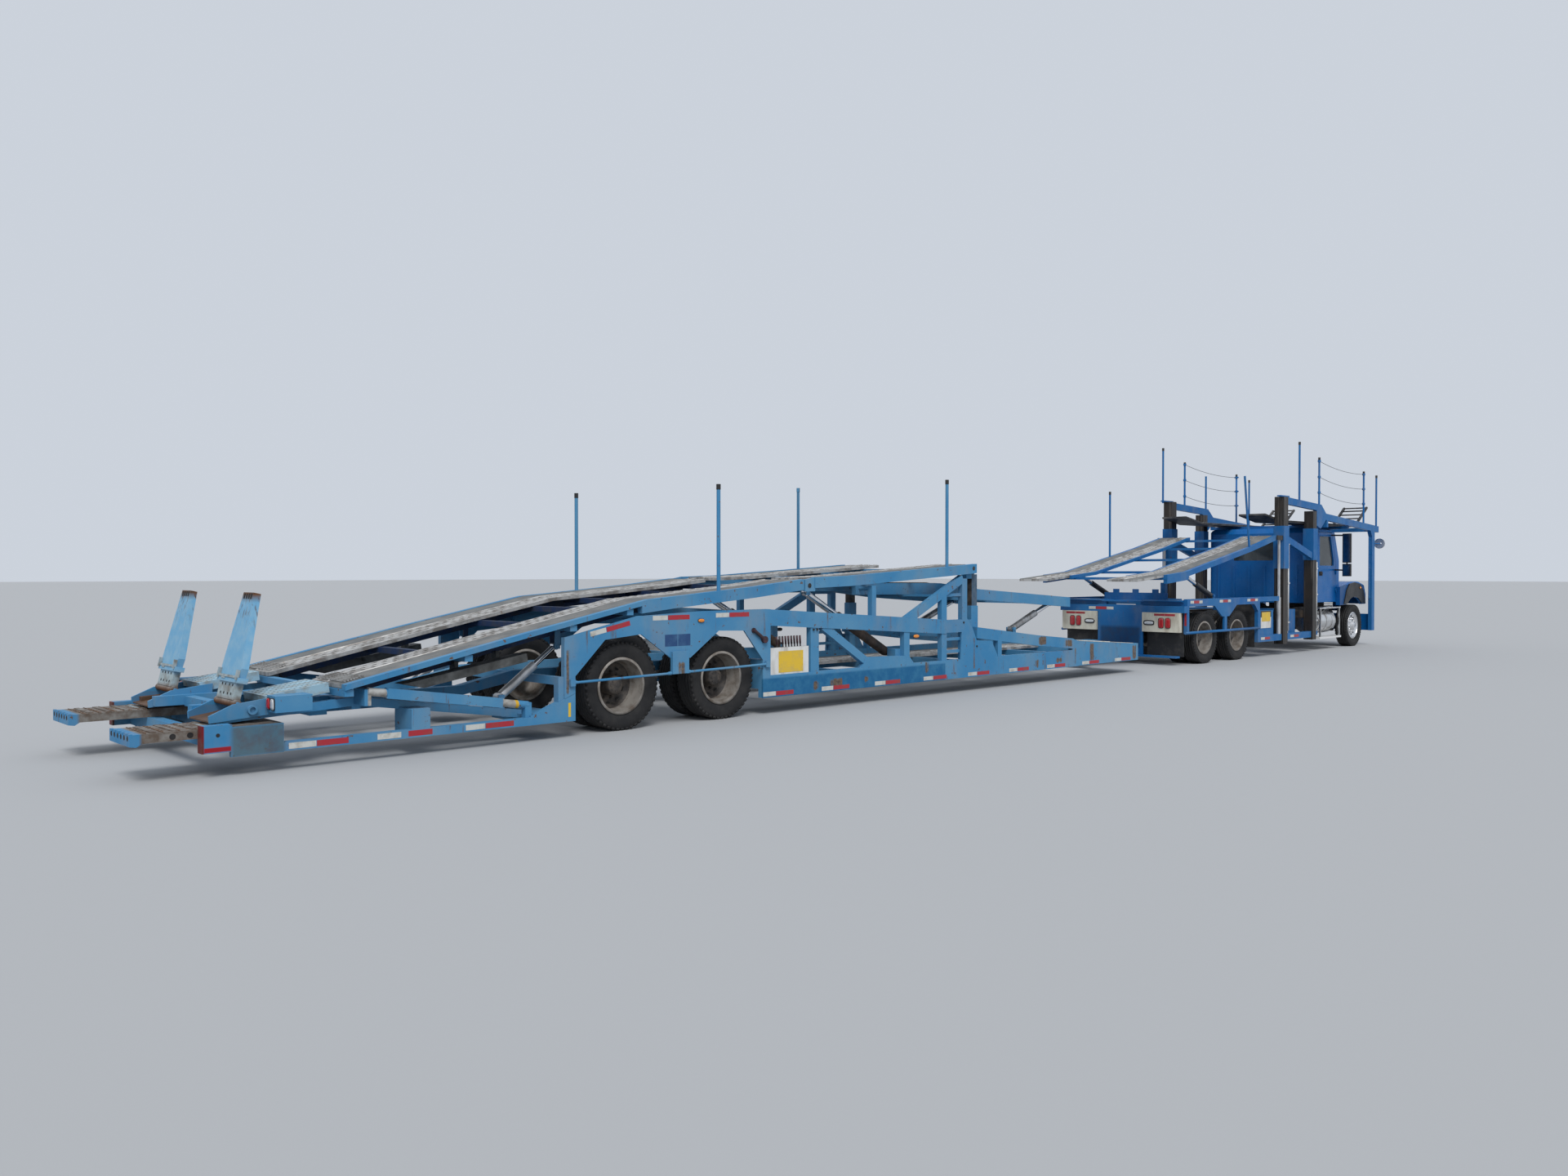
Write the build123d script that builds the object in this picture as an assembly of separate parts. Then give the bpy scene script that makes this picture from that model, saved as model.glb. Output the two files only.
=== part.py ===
from build123d import *
import math
import os

# A car transporter: a truck with ramp decks and a head rack, and the low two-axle
# trailer that hangs on its stinger hitch. Millimetres, +X forward, +Y left, +Z up.
# The origin is on the ground, half way along and on the centre line.
# Sizes along the trailer count from its rear axle, sizes along the truck from the hitch pin.

# Overall
TAIL_REACH = 4640          # rear trailer axle back to the skid tips
HITCH_REACH = 11025        # rear trailer axle forward to the hitch pin
NOSE_REACH = 10200         # hitch pin forward to the ends of the rack rails
LENGTH = TAIL_REACH + HITCH_REACH + NOSE_REACH
TRAILER_X = TAIL_REACH - LENGTH / 2
HITCH_X = TRAILER_X + HITCH_REACH
SIDE_Y = 1290              # outer face of the trailer sides
BODY_Y = 1255              # outer face of the truck's carrier body
FIT = 0.5                  # running clearance of pins and seats
GAP = 8                    # clearance between a moving panel and its frame

# Wheels
TYRE_R = 464
TYRE_W = 255
TREAD_W = 206
BEAD_R = 286
FLANGE_R = 300
RIM_W = 210
TWIN_PITCH = 335           # between the two tyres of a twin wheel
TWIN_Y = 925               # centre line out to the middle of a twin wheel
HUB_R = 110
SPINDLE_R = 48
STEER_Y = 1035
KINGPIN_Y = 855
KINGPIN_R = 25
TRAILER_AXLES = (0, 1378)
DRIVE_AXLES = (1914, 3210)
STEER_AXLE = 9090
AXLE_TUBE_R = 62

# Trailer frame
SILL_Z = (200, 455)
SILL_X = (1930, 10410)
RAIL_T = 80                # width of the trailer's box rails
PLATE_T = 20               # side plates and gussets
COLUMN_X = 6060            # slide columns of the front deck
COLUMN_Y = (1112, 1202)
NECK_TOP = [(6010, 885), (7510, 715), (8460, 630)]
NOSE_TOP = [(8600, 585), (10250, 478), (10410, 478)]
TONGUE_Z = (345, 455)
BALL_R = 45

# Trailer decks, as the top edge of the right-hand rail in side view
TAIL_DECK_TOP = [(-2985, 680), (-1228, 1053), (282, 1362), (618, 1388)]
MID_DECK_TOP = [(618, 1388), (1804, 1485), (2600, 1566)]
FRONT_DECK_TOP = [(2790, 1588), (3410, 1606), (5340, 1722), (6000, 1765)]
NECK_DECK_TOP = [(3780, 1512), (5514, 1498), (6386, 1407), (8760, 1255)]
DECK_HINGE = (2700, 1490)
FRONT_HINGE = (5930, 1700)
NECK_HINGE = (3860, 1440)
DECK_PIN_R = 30
TRACK_Y = (520, 1205)      # inner and outer edge of a wheel track
NECK_DECK_Y = 1040

# Trailer tail
SKID_Y = (640, 1170)
SKID_Z = (318, 392)
SKID_X = (-4640, -3480)
FLIP_HINGE = (-3790, 560)
FLIP_LEN = 935
FLIP_LEAN = 13             # degrees forward of upright
FLIP_Y = 800
FLIP_W = (390, 460, 235)   # width at the foot, at the shoulder and at the tip
FLIP_T = 60
CHANNEL_SIDE = [(-4020, 416), (-4024, 475), (-3830, 558), (-3466, 601), (-3478, 458)]
CHANNEL_BOSS = (-3686, 505)
TAIL_ARM = ((-2593, 577), (-1440, 402))
FLIP_PIN_R = 14

# Deck lifts in side view: barrel pin, rod pin
TAIL_LIFT = ((-1290, 420), (-640, 900))
FRONT_LIFT = ((4400, 600), (2900, 1400))
NECK_LIFT = ((7330, 800), (8330, 1165))
TRUCK_LIFT = ((2430, 1210), (1440, 1580))
LIFT_Y = 930
FRONT_LIFT_Y = 1010
TRUCK_LIFT_Y = 1060
LIFT_PIN_R = 20            # pin at the barrel's eye
RAM_PIN_R = 18             # pin at the rod's eye
TAIL_LIFT_R = (45, 30)     # radius of barrel and rod
FRONT_LIFT_R = (62, 42)
NECK_LIFT_R = (50, 34, 200)   # with the ram's end this far from the barrel's pin
TRUCK_LIFT_R = (50, 34)

# Truck chassis and carrier body
CHASSIS_Y = (345, 425)
CHASSIS_Z = (620, 880)
REAR_X = 1040
BEAM_Z = (1040, 1172)
BEAM_X = (1150, 4070)
LAMP_Z = (585, 930)
LAMP_Y = (465, 1184)
STINGER_Z = (205, 330)

# Head rack
COLUMN1_X = (5060, 5270)
COLUMN2_X = (6500, 6690)
RACK_COLUMN_Y = (1100, 1285)
RACK_TOP = [(5270, 3145), (6930, 3063), (7180, 2885), (9450, 2742), (NOSE_REACH, 2695)]
RACK_DEPTH = 138
RACK_POST_X = (9800, 9960)
SLEEVE_Z = ((1720, 2570), (1900, 2555))   # sleeves on the rear and front columns
SLEEVE_T = 16
HEAD_TRACK_Z = 2700
TRUCK_DECK_TOP = [(-420, 1530), (1140, 1660), (3716, 2142), (4780, 2370)]
TRUCK_DECK_HINGE = (4820, 2330)

# Cab
CAB_Y = 1060
WALL = 60
CAB_BACK = 6730
CAB_SIDE = [(6730, 1000), (6730, 2480), (6830, 2590), (8120, 2590), (8230, 2490), (8520, 1790), (8520, 1000)]
DOOR_X = (7330, 8280)
DOOR_Z = (1005, 2500)
DOOR_HINGE = (8284, CAB_Y + 13)
DOOR_HINGE_Z = (1250, 1650)
SILL_LINE = 1790           # bottom edge of the windows
HOOD_X = (8535, 9850)
HOOD_HINGE = (9810, 730)
HOOD_PIN_R = 10
ARCH_R = 640               # front wheel opening, about the wheel's centre
TOW_EYE = (10055, 500)     # front tow eyes
TOW_EYE_Y = (430, 468)
TOW_BORE_R = 21


def block(x, y, z):
    """Box between two corners, each argument a pair of limits."""
    size = Box(x[1] - x[0], abs(y[1] - y[0]), z[1] - z[0])
    return Pos((x[0] + x[1]) / 2, (y[0] + y[1]) / 2, (z[0] + z[1]) / 2) * size


def slab(points, y0, y1):
    """Side view outline of (x, z) points, filled from y0 to y1."""
    outline = make_face(Polyline(*[(x, 0, z) for x, z in points], close=True))
    return Pos(0, min(y0, y1), 0) * extrude(outline, abs(y1 - y0), dir=(0, 1, 0))


def rail(top, depth, y0, y1):
    """Rail whose top edge follows the side view points."""
    under = [(x, z - depth) for x, z in reversed(top)]
    return slab(list(top) + under, y0, y1)


def strut(a, b, width, y0, y1):
    """Flat bar between two side view points, square to its own line."""
    run = Vector(b[0] - a[0], b[1] - a[1])
    nx, nz = -run.Y / run.length * width / 2, run.X / run.length * width / 2
    corners = [(a[0] + nx, a[1] + nz), (b[0] + nx, b[1] + nz), (b[0] - nx, b[1] - nz), (a[0] - nx, a[1] - nz)]
    return slab(corners, y0, y1)


def rod(a, b, radius):
    """Round bar between two points."""
    run = Vector(*b) - Vector(*a)
    seat = (Align.CENTER, Align.CENTER, Align.MIN)
    return Plane(origin=a, z_dir=run) * Cylinder(radius, run.length, align=seat)


def front_slab(points, x0, x1):
    """Front view outline of (y, z) points, filled from x0 to x1."""
    outline = make_face(Polyline(*[(x0, y, z) for y, z in points], close=True))
    return extrude(outline, x1 - x0, dir=(1, 0, 0))


def cross_rod(x, z, half, radius):
    """Round bar across the vehicle."""
    return rod((x, -half, z), (x, half, z), radius)


def cross_bar(x, z, half, size=(80, 80)):
    """Square bar across the vehicle, its top at z."""
    return block((x - size[0] / 2, x + size[0] / 2), (-half, half), (z - size[1], z))


def flip(shape):
    """The same piece on the other side of the vehicle."""
    return mirror(shape, about=Plane.XZ)


def both(*shapes):
    """The pieces and their mirror images."""
    return list(shapes) + [flip(s) for s in shapes]


def fused(pieces):
    """One solid from pieces that meet."""
    return pieces[0].fuse(*pieces[1:]).clean()


def height_on(top, x):
    """Height of a rail's top edge at x."""
    for (xa, za), (xb, zb) in zip(top, top[1:]):
        if xa <= x <= xb:
            return za + (zb - za) * (x - xa) / (xb - xa)
    return top[0][1] if x < top[0][0] else top[-1][1]


def bar_under(top, x, drop, half, size=(80, 60)):
    """Cross bar that stays at least drop below a sloping top edge over its whole width."""
    z = min(height_on(top, x - size[0] / 2), height_on(top, x + size[0] / 2)) - drop
    return cross_bar(x, z, half, size)


def clevis(pin, y, pin_r, inner, z0, z1, width=60):
    """Two ears with a pin through them. inner is half the gap, z0 and z1 the ears' ends."""
    x = pin[0]
    ears = []
    for k in (-1, 1):
        ears.append(block((x - width / 2, x + width / 2), (y + k * inner, y + k * (inner + 14)), (z0, z1)))
    return ears + [rod((x, y - inner - 22, pin[1]), (x, y + inner + 22, pin[1]), pin_r)]


def open_clevis(pin, y, pin_r, inner, z0, z1, width=60):
    """Two ears with pin heads on their outer sides, and a free gap between them."""
    x = pin[0]
    ears = []
    for k in (-1, 1):
        ears.append(block((x - width / 2, x + width / 2), (y + k * inner, y + k * (inner + 14)), (z0, z1)))
        ears.append(rod((x, y + k * (inner + 7), pin[1]), (x, y + k * (inner + 22), pin[1]), pin_r))
    return ears


def along(a, b, distance):
    """Point at a distance from a towards b."""
    run = math.dist(a, b)
    return tuple(p + (q - p) * distance / run for p, q in zip(a, b))


nodes = {}


def add(name, pieces, place):
    """Keep the solids of one node, placed on the truck or the trailer."""
    solids = []
    for piece in pieces:
        solids += (Pos(place, 0, 0) * piece).solids()
    nodes[name] = solids


def spun(profile, x, z=TYRE_R):
    """Solid of revolution about a wheel axis, from (y, radius) points."""
    face = make_face(Polyline(*[(0, y, r) for y, r in profile], close=True))
    return Pos(x, 0, z) * revolve(face, axis=Axis.Y)


def tyre(x, y):
    """Truck tyre: flat tread, shoulders and walls down to the beads."""
    half = [(TREAD_W / 2, TYRE_R), (TYRE_W / 2 - 6, TYRE_R - 28), (TYRE_W / 2, 385),
            (RIM_W / 2 - 10, FLANGE_R + 6), (RIM_W / 2 - 10, BEAD_R + FIT)]
    return spun([(y - a, r) for a, r in half] + [(y + a, r) for a, r in reversed(half)], x)


def twin_wheel(x, side):
    """Two steel rims back to back on one hub. side is 1 on the left, -1 on the right."""
    edge = TWIN_PITCH / 2 + RIM_W / 2
    inner = TWIN_PITCH / 2 - RIM_W / 2
    bore = BEAD_R - 14
    profile = [(-edge, bore), (-edge, FLANGE_R), (-edge + 9, FLANGE_R), (-edge + 9, BEAD_R),
               (-inner - 9, BEAD_R), (-inner - 9, FLANGE_R), (-inner, FLANGE_R), (-inner, BEAD_R),
               (inner, BEAD_R), (inner, FLANGE_R), (inner + 9, FLANGE_R), (inner + 9, BEAD_R),
               (edge - 9, BEAD_R), (edge - 9, FLANGE_R), (edge, FLANGE_R), (edge, bore),
               (40, bore), (12, bore - 60), (12, HUB_R + 25), (40, HUB_R), (170, HUB_R - 15), (178, 0),
               (120, 0), (120, SPINDLE_R + FIT), (-150, SPINDLE_R + FIT), (-150, HUB_R),
               (-12, HUB_R + 25), (-12, bore - 60), (-40, bore)]
    return spun([(side * (TWIN_Y + y), r) for y, r in profile], x)


def steer_wheel(x, side):
    """Single polished disc wheel, its disc near the outer edge."""
    edge = RIM_W / 2
    bore = BEAD_R - 14
    profile = [(-edge, bore), (-edge, FLANGE_R), (-edge + 9, FLANGE_R), (-edge + 9, BEAD_R),
               (edge - 9, BEAD_R), (edge - 9, FLANGE_R), (edge, FLANGE_R), (edge, bore), (75, bore - 25),
               (62, bore - 70), (62, 150), (80, 118), (80, 92), (130, 84), (136, 0), (70, 0),
               (70, 40 + FIT), (-60, 40 + FIT), (-60, 105), (35, 120), (35, bore - 60), (20, bore)]
    return spun([(side * (STEER_Y + y), r) for y, r in profile], x)


# Wheels: a twin wheel on each side of four axles, a single wheel on each steering knuckle
for label, place, axles in (("trailer", TRAILER_X, TRAILER_AXLES), ("drive", HITCH_X, DRIVE_AXLES)):
    for number, axle in enumerate(axles, 1):
        for side, letter in ((-1, "r"), (1, "l")):
            pair = [tyre(axle, side * (TWIN_Y + step * TWIN_PITCH / 2)) for step in (-1, 1)]
            add(f"{label}_wheel_{number}{letter}", pair + [twin_wheel(axle, side)], place)

for side, letter in ((-1, "r"), (1, "l")):
    add(f"steer_tyre_{letter}", [tyre(STEER_AXLE, side * STEER_Y)], HITCH_X)
    add(f"steer_rim_{letter}", [steer_wheel(STEER_AXLE, side)], HITCH_X)
    eye_z = TYRE_R
    yokes = [block((STEER_AXLE - 55, STEER_AXLE + 55), (side * (KINGPIN_Y - 45), side * (KINGPIN_Y + 62)), z)
             for z in ((eye_z - 100, eye_z - 62), (eye_z + 62, eye_z + 100))]
    back = block((STEER_AXLE - 55, STEER_AXLE + 55), (side * (KINGPIN_Y + 54), side * (KINGPIN_Y + 90)),
                 (eye_z - 100, eye_z + 100))
    pin = rod((STEER_AXLE, side * KINGPIN_Y, eye_z - 110), (STEER_AXLE, side * KINGPIN_Y, eye_z + 110), KINGPIN_R)
    spindle = rod((STEER_AXLE, side * (KINGPIN_Y + 80), eye_z), (STEER_AXLE, side * (STEER_Y + 60), eye_z), 40)
    arm = block((STEER_AXLE - 230, STEER_AXLE - 40), (side * (KINGPIN_Y - 20), side * (KINGPIN_Y + 20)),
                (eye_z - 100, eye_z - 66))
    add(f"knuckle_{letter}", [fused(yokes + [back, pin, spindle, arm])], HITCH_X)


def axle_tube(x):
    """Axle tube with its two spindles."""
    reach = TWIN_Y - 150 - FIT
    return [cross_rod(x, TYRE_R, reach, AXLE_TUBE_R), cross_rod(x, TYRE_R, TWIN_Y + 110, SPINDLE_R)]


# Truck axles: two driven, with their differential housings and saddles, and the steered beam
truck_axles = []
for axle in DRIVE_AXLES:
    bowl = Pos(axle, 0, TYRE_R) * Sphere(150)
    saddles = both(block((axle - 130, axle + 130), (CHASSIS_Y[0], CHASSIS_Y[1]), (TYRE_R, CHASSIS_Z[0])))
    truck_axles.append(fused(axle_tube(axle) + [bowl] + saddles))
eye = rod((STEER_AXLE, KINGPIN_Y, TYRE_R - 60), (STEER_AXLE, KINGPIN_Y, TYRE_R + 60), 46)
eye_bore = rod((STEER_AXLE, KINGPIN_Y, 0), (STEER_AXLE, KINGPIN_Y, 900), KINGPIN_R + FIT)
beam = [block((STEER_AXLE - 50, STEER_AXLE + 50), (-700, 700), (330, 420))]
beam += both(block((STEER_AXLE - 40, STEER_AXLE + 40), (660, KINGPIN_Y), (407, 460)), eye)
beam += both(block((STEER_AXLE - 60, STEER_AXLE + 60), CHASSIS_Y, (400, CHASSIS_Z[0])))
steer_beam = fused(beam)
for bore in both(eye_bore):
    steer_beam = steer_beam - bore
truck_axles.append(steer_beam)
add("truck_axles", truck_axles, HITCH_X)

# Truck chassis: two channel rails, cross members, the rear panel and the stinger
rails = []
for piece in both(block((REAR_X + 20, 9780), CHASSIS_Y, CHASSIS_Z)):
    rails.append(piece)
hollow = both(block((REAR_X + 100, 9700), (CHASSIS_Y[0] - 1, CHASSIS_Y[1] - 12), (CHASSIS_Z[0] + 12, CHASSIS_Z[1] - 12)))
rails = [r - h for r, h in zip(rails, hollow)]
members = [block((x, x + 80), (-CHASSIS_Y[1] + 10, CHASSIS_Y[1] - 10), (660, 840)) for x in (1500, 2520, 3900, 5100, 6500, 7800)]
members += [block((x, x + 80), (-CHASSIS_Y[1], CHASSIS_Y[1]), (600, 640)) for x in (8650, 9330)]
for x in (COLUMN1_X, COLUMN2_X):
    members += both(block((x[0] + 20, x[1] - 20), (CHASSIS_Y[1] - 10, RACK_COLUMN_Y[0]), (700, 860)))
for x in (6850, 8330):
    members += both(block((x, x + 90), CHASSIS_Y, (CHASSIS_Z[1], 1000)))
members += both(block((9700, 9870), CHASSIS_Y, (CHASSIS_Z[0], 700)))
members += both(block((HOOD_HINGE[0] - 15, HOOD_HINGE[0] + 15), CHASSIS_Y, (690, HOOD_HINGE[1] + 15)))
members.append(cross_rod(*HOOD_HINGE, CHASSIS_Y[1], HOOD_PIN_R))
panel = block((REAR_X, REAR_X + 40), (-450, 450), (160, 1060))
rear_beam = block((REAR_X, REAR_X + 110), (-BODY_Y, BODY_Y), (930, 1050))
stinger = block((-135, REAR_X + 20), (-150, 150), STINGER_Z)
stinger_root = slab([(REAR_X + 10, 205), (REAR_X + 10, 840), (1500, 840), (1500, 560), (1300, 205)], -150, 150)
pintle = rod((0, 0, 300), (0, 0, TONGUE_Z[1] - 8), BALL_R)
wing = block((REAR_X - 60, REAR_X + 80), (-1130, 1130), (132, 165))
add("truck_frame", [fused(rails + members + [panel, rear_beam, stinger, stinger_root, pintle, wing])], HITCH_X)

# Carrier body: a beam over each pair of drive wheels, its posts, V plate, guard rod and low sill
sides = []
for s in (-1, 1):
    y0, y1 = s * (BODY_Y - 70), s * BODY_Y
    parts = [block(BEAM_X, (y0, y1), BEAM_Z)]
    parts.append(block((BEAM_X[0], BEAM_X[0] + 70), (y0, y1), (560, BEAM_Z[1])))
    parts.append(slab([(4070, BEAM_Z[1]), (3990, BEAM_Z[1]), (3830, 1040), (3990, 900), (3990, 297), (4070, 297)], y0, y1))
    parts.append(slab([(2170, 1045), (3090, 1045), (2770, 835), (2490, 835)], s * (BODY_Y - 30), y1))
    parts.append(block((2580, 2680), (s * (BODY_Y - 40), y1), (560, 840)))
    parts.append(rod((1100, s * (BODY_Y - 14), 575), (4050, s * (BODY_Y - 14), 575), 14))
    parts.append(block((3990, COLUMN1_X[0]), (y0, y1), (297, 425)))
    parts.append(block((COLUMN1_X[1], COLUMN2_X[0]), (y0, y1), (297, 425)))
    parts.append(block((4060, 4940), (y0, y1), (BEAM_Z[1] - 90, BEAM_Z[1])))
    parts.append(block((COLUMN2_X[1], 6830), (y0, y1), (340, 425)))
    for x in (REAR_X + 120, 2400, 3995):
        parts.append(block((x, x + 60), (s * 400, s * (BODY_Y - 60)), (BEAM_Z[0] - 10, BEAM_Z[0] + 70)))
        parts.append(block((x, x + 60), (s * CHASSIS_Y[0], s * (CHASSIS_Y[1] + 20)), (CHASSIS_Z[1], BEAM_Z[0] + 70)))
    lift_y = s * TRUCK_LIFT_Y
    parts += clevis(TRUCK_LIFT[0], lift_y, LIFT_PIN_R, TRUCK_LIFT_R[0] + 3, BEAM_Z[0], TRUCK_LIFT[0][1] + 30)
    sides.append(fused(parts))
deck_floor = [block((1130, 2050), (-BODY_Y + 75, BODY_Y - 75), (BEAM_Z[1] - 62, BEAM_Z[1] - 40))]
deck_floor.append(block((1590, 1612), (-640, 640), (1120, 1270)))
deck_floor += [block((1590, 1612), (y - 60, y + 60), (1265, 1335)) for y in (-400, 0, 400)]
deck_floor += both(block((1062, 1480), (420, 1180), (1130, 1148)))
deck_floor.append(block((1770, 1860), (-500, -410), (1128, 1455)))
add("carrier_sides", [fused(sides + deck_floor)], HITCH_X)

# Rear lamp panels, pressed boxes on the corners, and the mud flaps below them
lamps = both(block((REAR_X - 40, REAR_X + 49), LAMP_Y, LAMP_Z))
add("truck_lamp_boxes", lamps, HITCH_X)
flaps = both(block((REAR_X + 125, REAR_X + 137), (480, 1180), (150, BEAM_Z[0] - 10)),
             block((4000, 4012), (640, 1180), (200, BEAM_Z[0] - 10)))
add("mud_flaps", flaps, HITCH_X)

# Head rack columns and the lift cylinders beside them
columns = []
for x0, x1, z0, z1 in ((*COLUMN1_X, 220, 3150), (*COLUMN2_X, 250, 2915)):
    shaft = block((x0, x1), RACK_COLUMN_Y, (z0, z1))
    groove = block((x0 + 45, x1 - 45), (RACK_COLUMN_Y[0] + 45, RACK_COLUMN_Y[1] - 12), (z0 - 5, z1 + 5))
    columns.append(shaft - groove)
hinge_ear = block((4795, COLUMN1_X[0]), (1258, 1282), (2285, 2375))
hinge_pin = rod((TRUCK_DECK_HINGE[0], 1185, TRUCK_DECK_HINGE[1]), (TRUCK_DECK_HINGE[0], 1275, TRUCK_DECK_HINGE[1]), 20)
columns[0] = fused([columns[0], hinge_ear, hinge_pin])
add("rack_columns", both(*columns), HITCH_X)
cylinders = []
for x, z in ((4990, 2300), (5335, 2195), (6765, 1890)):
    y = 1225
    cylinders.append(fused([rod((x, y, 425), (x, y, 1150), 38), rod((x, y, 1150), (x, y, z), 26)]))
add("rack_cylinders", both(*cylinders), HITCH_X)

# Head rack: side rails over the cab, front posts, sleeves on the columns and cross bars
rack = []
for s in (-1, 1):
    y0, y1 = s * (SIDE_Y - 85), s * (SIDE_Y - 5)
    parts = [rail(RACK_TOP, RACK_DEPTH, y0, y1)]
    parts.append(block(RACK_POST_X, (y0, y1), (330, 2640)))
    parts.append(slab([(9640, 2700), (9930, 2700), (9930, 2450), (9800, 2450)], y0, y1))
    parts.append(slab([(6690, 3000), (6980, 3000), (7180, 2760), (6900, 2560), (6690, 2620)], y0, y1))
    rack.append(fused(parts))
    rack += [block((4925, 5330), (y0, y1), (3150, 3175)), block((5275, 5330), (y0, y1), (3090, 3175)),
             block((7210, 7290), (y0, y1), (2598, 2760))]
bars = [cross_bar(x, HEAD_TRACK_Z - 40, SIDE_Y - 80, (80, 60)) for x in (7250, 8600)]
bars.append(cross_bar(9865, HEAD_TRACK_Z - 40, SIDE_Y - 80, (80, 90)))
poles = []
for x, foot, top, s in ((4950, 3120, 4290, 1), (5910, 3080, 4050, 1), (5900, 3080, 4300, -1), (6900, 3040, 4050, -1),
                        (6900, 3040, 3800, 1), (9380, 2700, 3905, -1), (9090, 2700, 3835, 1), (10150, 2660, 3860, -1)):
    poles.append(rod((x, s * (SIDE_Y - 45), foot), (x, s * (SIDE_Y - 45), top), 20))
mirrors = both(rod((9950, 1245, 2300), (10070, 1215, 2300), 13), rod((10055, 1185, 2300), (10085, 1185, 2300), 115))
sleeves = []
for (x0, x1), (z0, z1) in zip((COLUMN1_X, COLUMN2_X), SLEEVE_Z):
    (y0, y1), t = RACK_COLUMN_Y, SLEEVE_T
    sleeves.append(block((x0 - t, x1 + t), (y0 - t, y1 + t), (z0, z1)) - block((x0, x1), (y0, y1), (z0 - 5, z1 + 5)))
sleeves[0] = sleeves[0] - hinge_ear
sleeves.append(strut((COLUMN1_X[1] + 20, 2300), (COLUMN2_X[0] - 20, 1990), 130, 1215, 1285))
add("head_rack", [fused(rack + bars + poles + mirrors)] + both(fused(sleeves)), HITCH_X)

# Head rack tracks over the cab, with the flaps tipped up at both ends
tracks = []
track_y = (560, 1094)
main = block((5400, 9330), track_y, (HEAD_TRACK_Z - 40, HEAD_TRACK_Z))
rear_flap = strut((5400, HEAD_TRACK_Z - 22), (4640, 2790), 36, *track_y)
flap_foot, flap_tip = (9330, HEAD_TRACK_Z - 22), (10050, 3130)
front_flap = [strut(flap_foot, flap_tip, 44, y, y + 40) for y in (track_y[0], track_y[1] - 40)]
for share in (0.22, 0.42, 0.62, 0.82, 0.98):
    x, z = (a + (b - a) * share for a, b in zip(flap_foot, flap_tip))
    front_flap.append(block((x - 22, x + 22), track_y, (z - 14, z + 14)))
tracks = both(fused([main, rear_flap] + front_flap))
add("head_tracks", tracks, HITCH_X)

# Cab shell: one folded box, open at the doors, windscreen and back window
roof_corner = [(CAB_Y, 990), (CAB_Y, 2512), (CAB_Y - 22, 2562), (CAB_Y - 75, 2592)]
front_view = roof_corner + [(-y, z) for y, z in reversed(roof_corner)]
plan = Pos((CAB_BACK + 8520) / 2, 0, 950) * extrude(RectangleRounded(8520 - CAB_BACK, 2 * CAB_Y, 55), 1700)
outer = slab(CAB_SIDE, -CAB_Y, CAB_Y) & front_slab(front_view, CAB_BACK - 5, 8525) & plan
inner_side = [(CAB_BACK + WALL, 1000 + WALL), (CAB_BACK + WALL, 2460), (6855, 2590 - WALL), (8090, 2590 - WALL),
              (8175, 2460), (8520 - WALL, 1780), (8520 - WALL, 1000 + WALL)]
cab = outer - slab(inner_side, -CAB_Y + WALL, CAB_Y - WALL)
door_side = [(DOOR_X[0], DOOR_Z[0]), (DOOR_X[0], DOOR_Z[1]), (8060, DOOR_Z[1]), (8280, 1850), (DOOR_X[1], DOOR_Z[0])]
mouth_side = [(DOOR_X[0] - GAP, DOOR_Z[0] - GAP), (DOOR_X[0] - GAP, DOOR_Z[1] + GAP), (8066, DOOR_Z[1] + GAP),
              (8288, 1854), (8288, DOOR_Z[0] - GAP)]
window_side = [(7420, SILL_LINE), (7420, 2420), (8010, 2420), (8180, 1900), (8180, SILL_LINE)]
cab = cab - slab(mouth_side, -CAB_Y - 5, -CAB_Y + WALL + 5) - slab(mouth_side, CAB_Y - WALL - 5, CAB_Y + 5)
cab = cab - block((6700, 6900), (-520, 520), (1900, 2300))
screen_hole = slab([(8100, 2455), (8300, 2455), (8620, 1850), (8400, 1850)], -930, 930)
cab = cab - screen_hole
leaves = []
for z in DOOR_HINGE_Z:
    leaves += both(rod((DOOR_HINGE[0], DOOR_HINGE[1], z - 50), (DOOR_HINGE[0], DOOR_HINGE[1], z), 12),
                   block((DOOR_HINGE[0], DOOR_HINGE[0] + 18), (CAB_Y - 5, CAB_Y + 10), (z - 50, z)))
ribs = [block((CAB_BACK - 12, CAB_BACK + 5), (y - 28, y + 28), (1080, 1800)) for y in (-850, -510, -170, 170, 510, 850)]
cab = fused([cab] + leaves + ribs)
add("cab_shell", [cab], HITCH_X)
glass = [slab([(8207, 2455), (8215, 2455), (8467, 1850), (8459, 1850)], -930, 930),
         block((CAB_BACK + 26, CAB_BACK + 34), (-520, 520), (1900, 2300))]
add("cab_glass", glass, HITCH_X)

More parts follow.
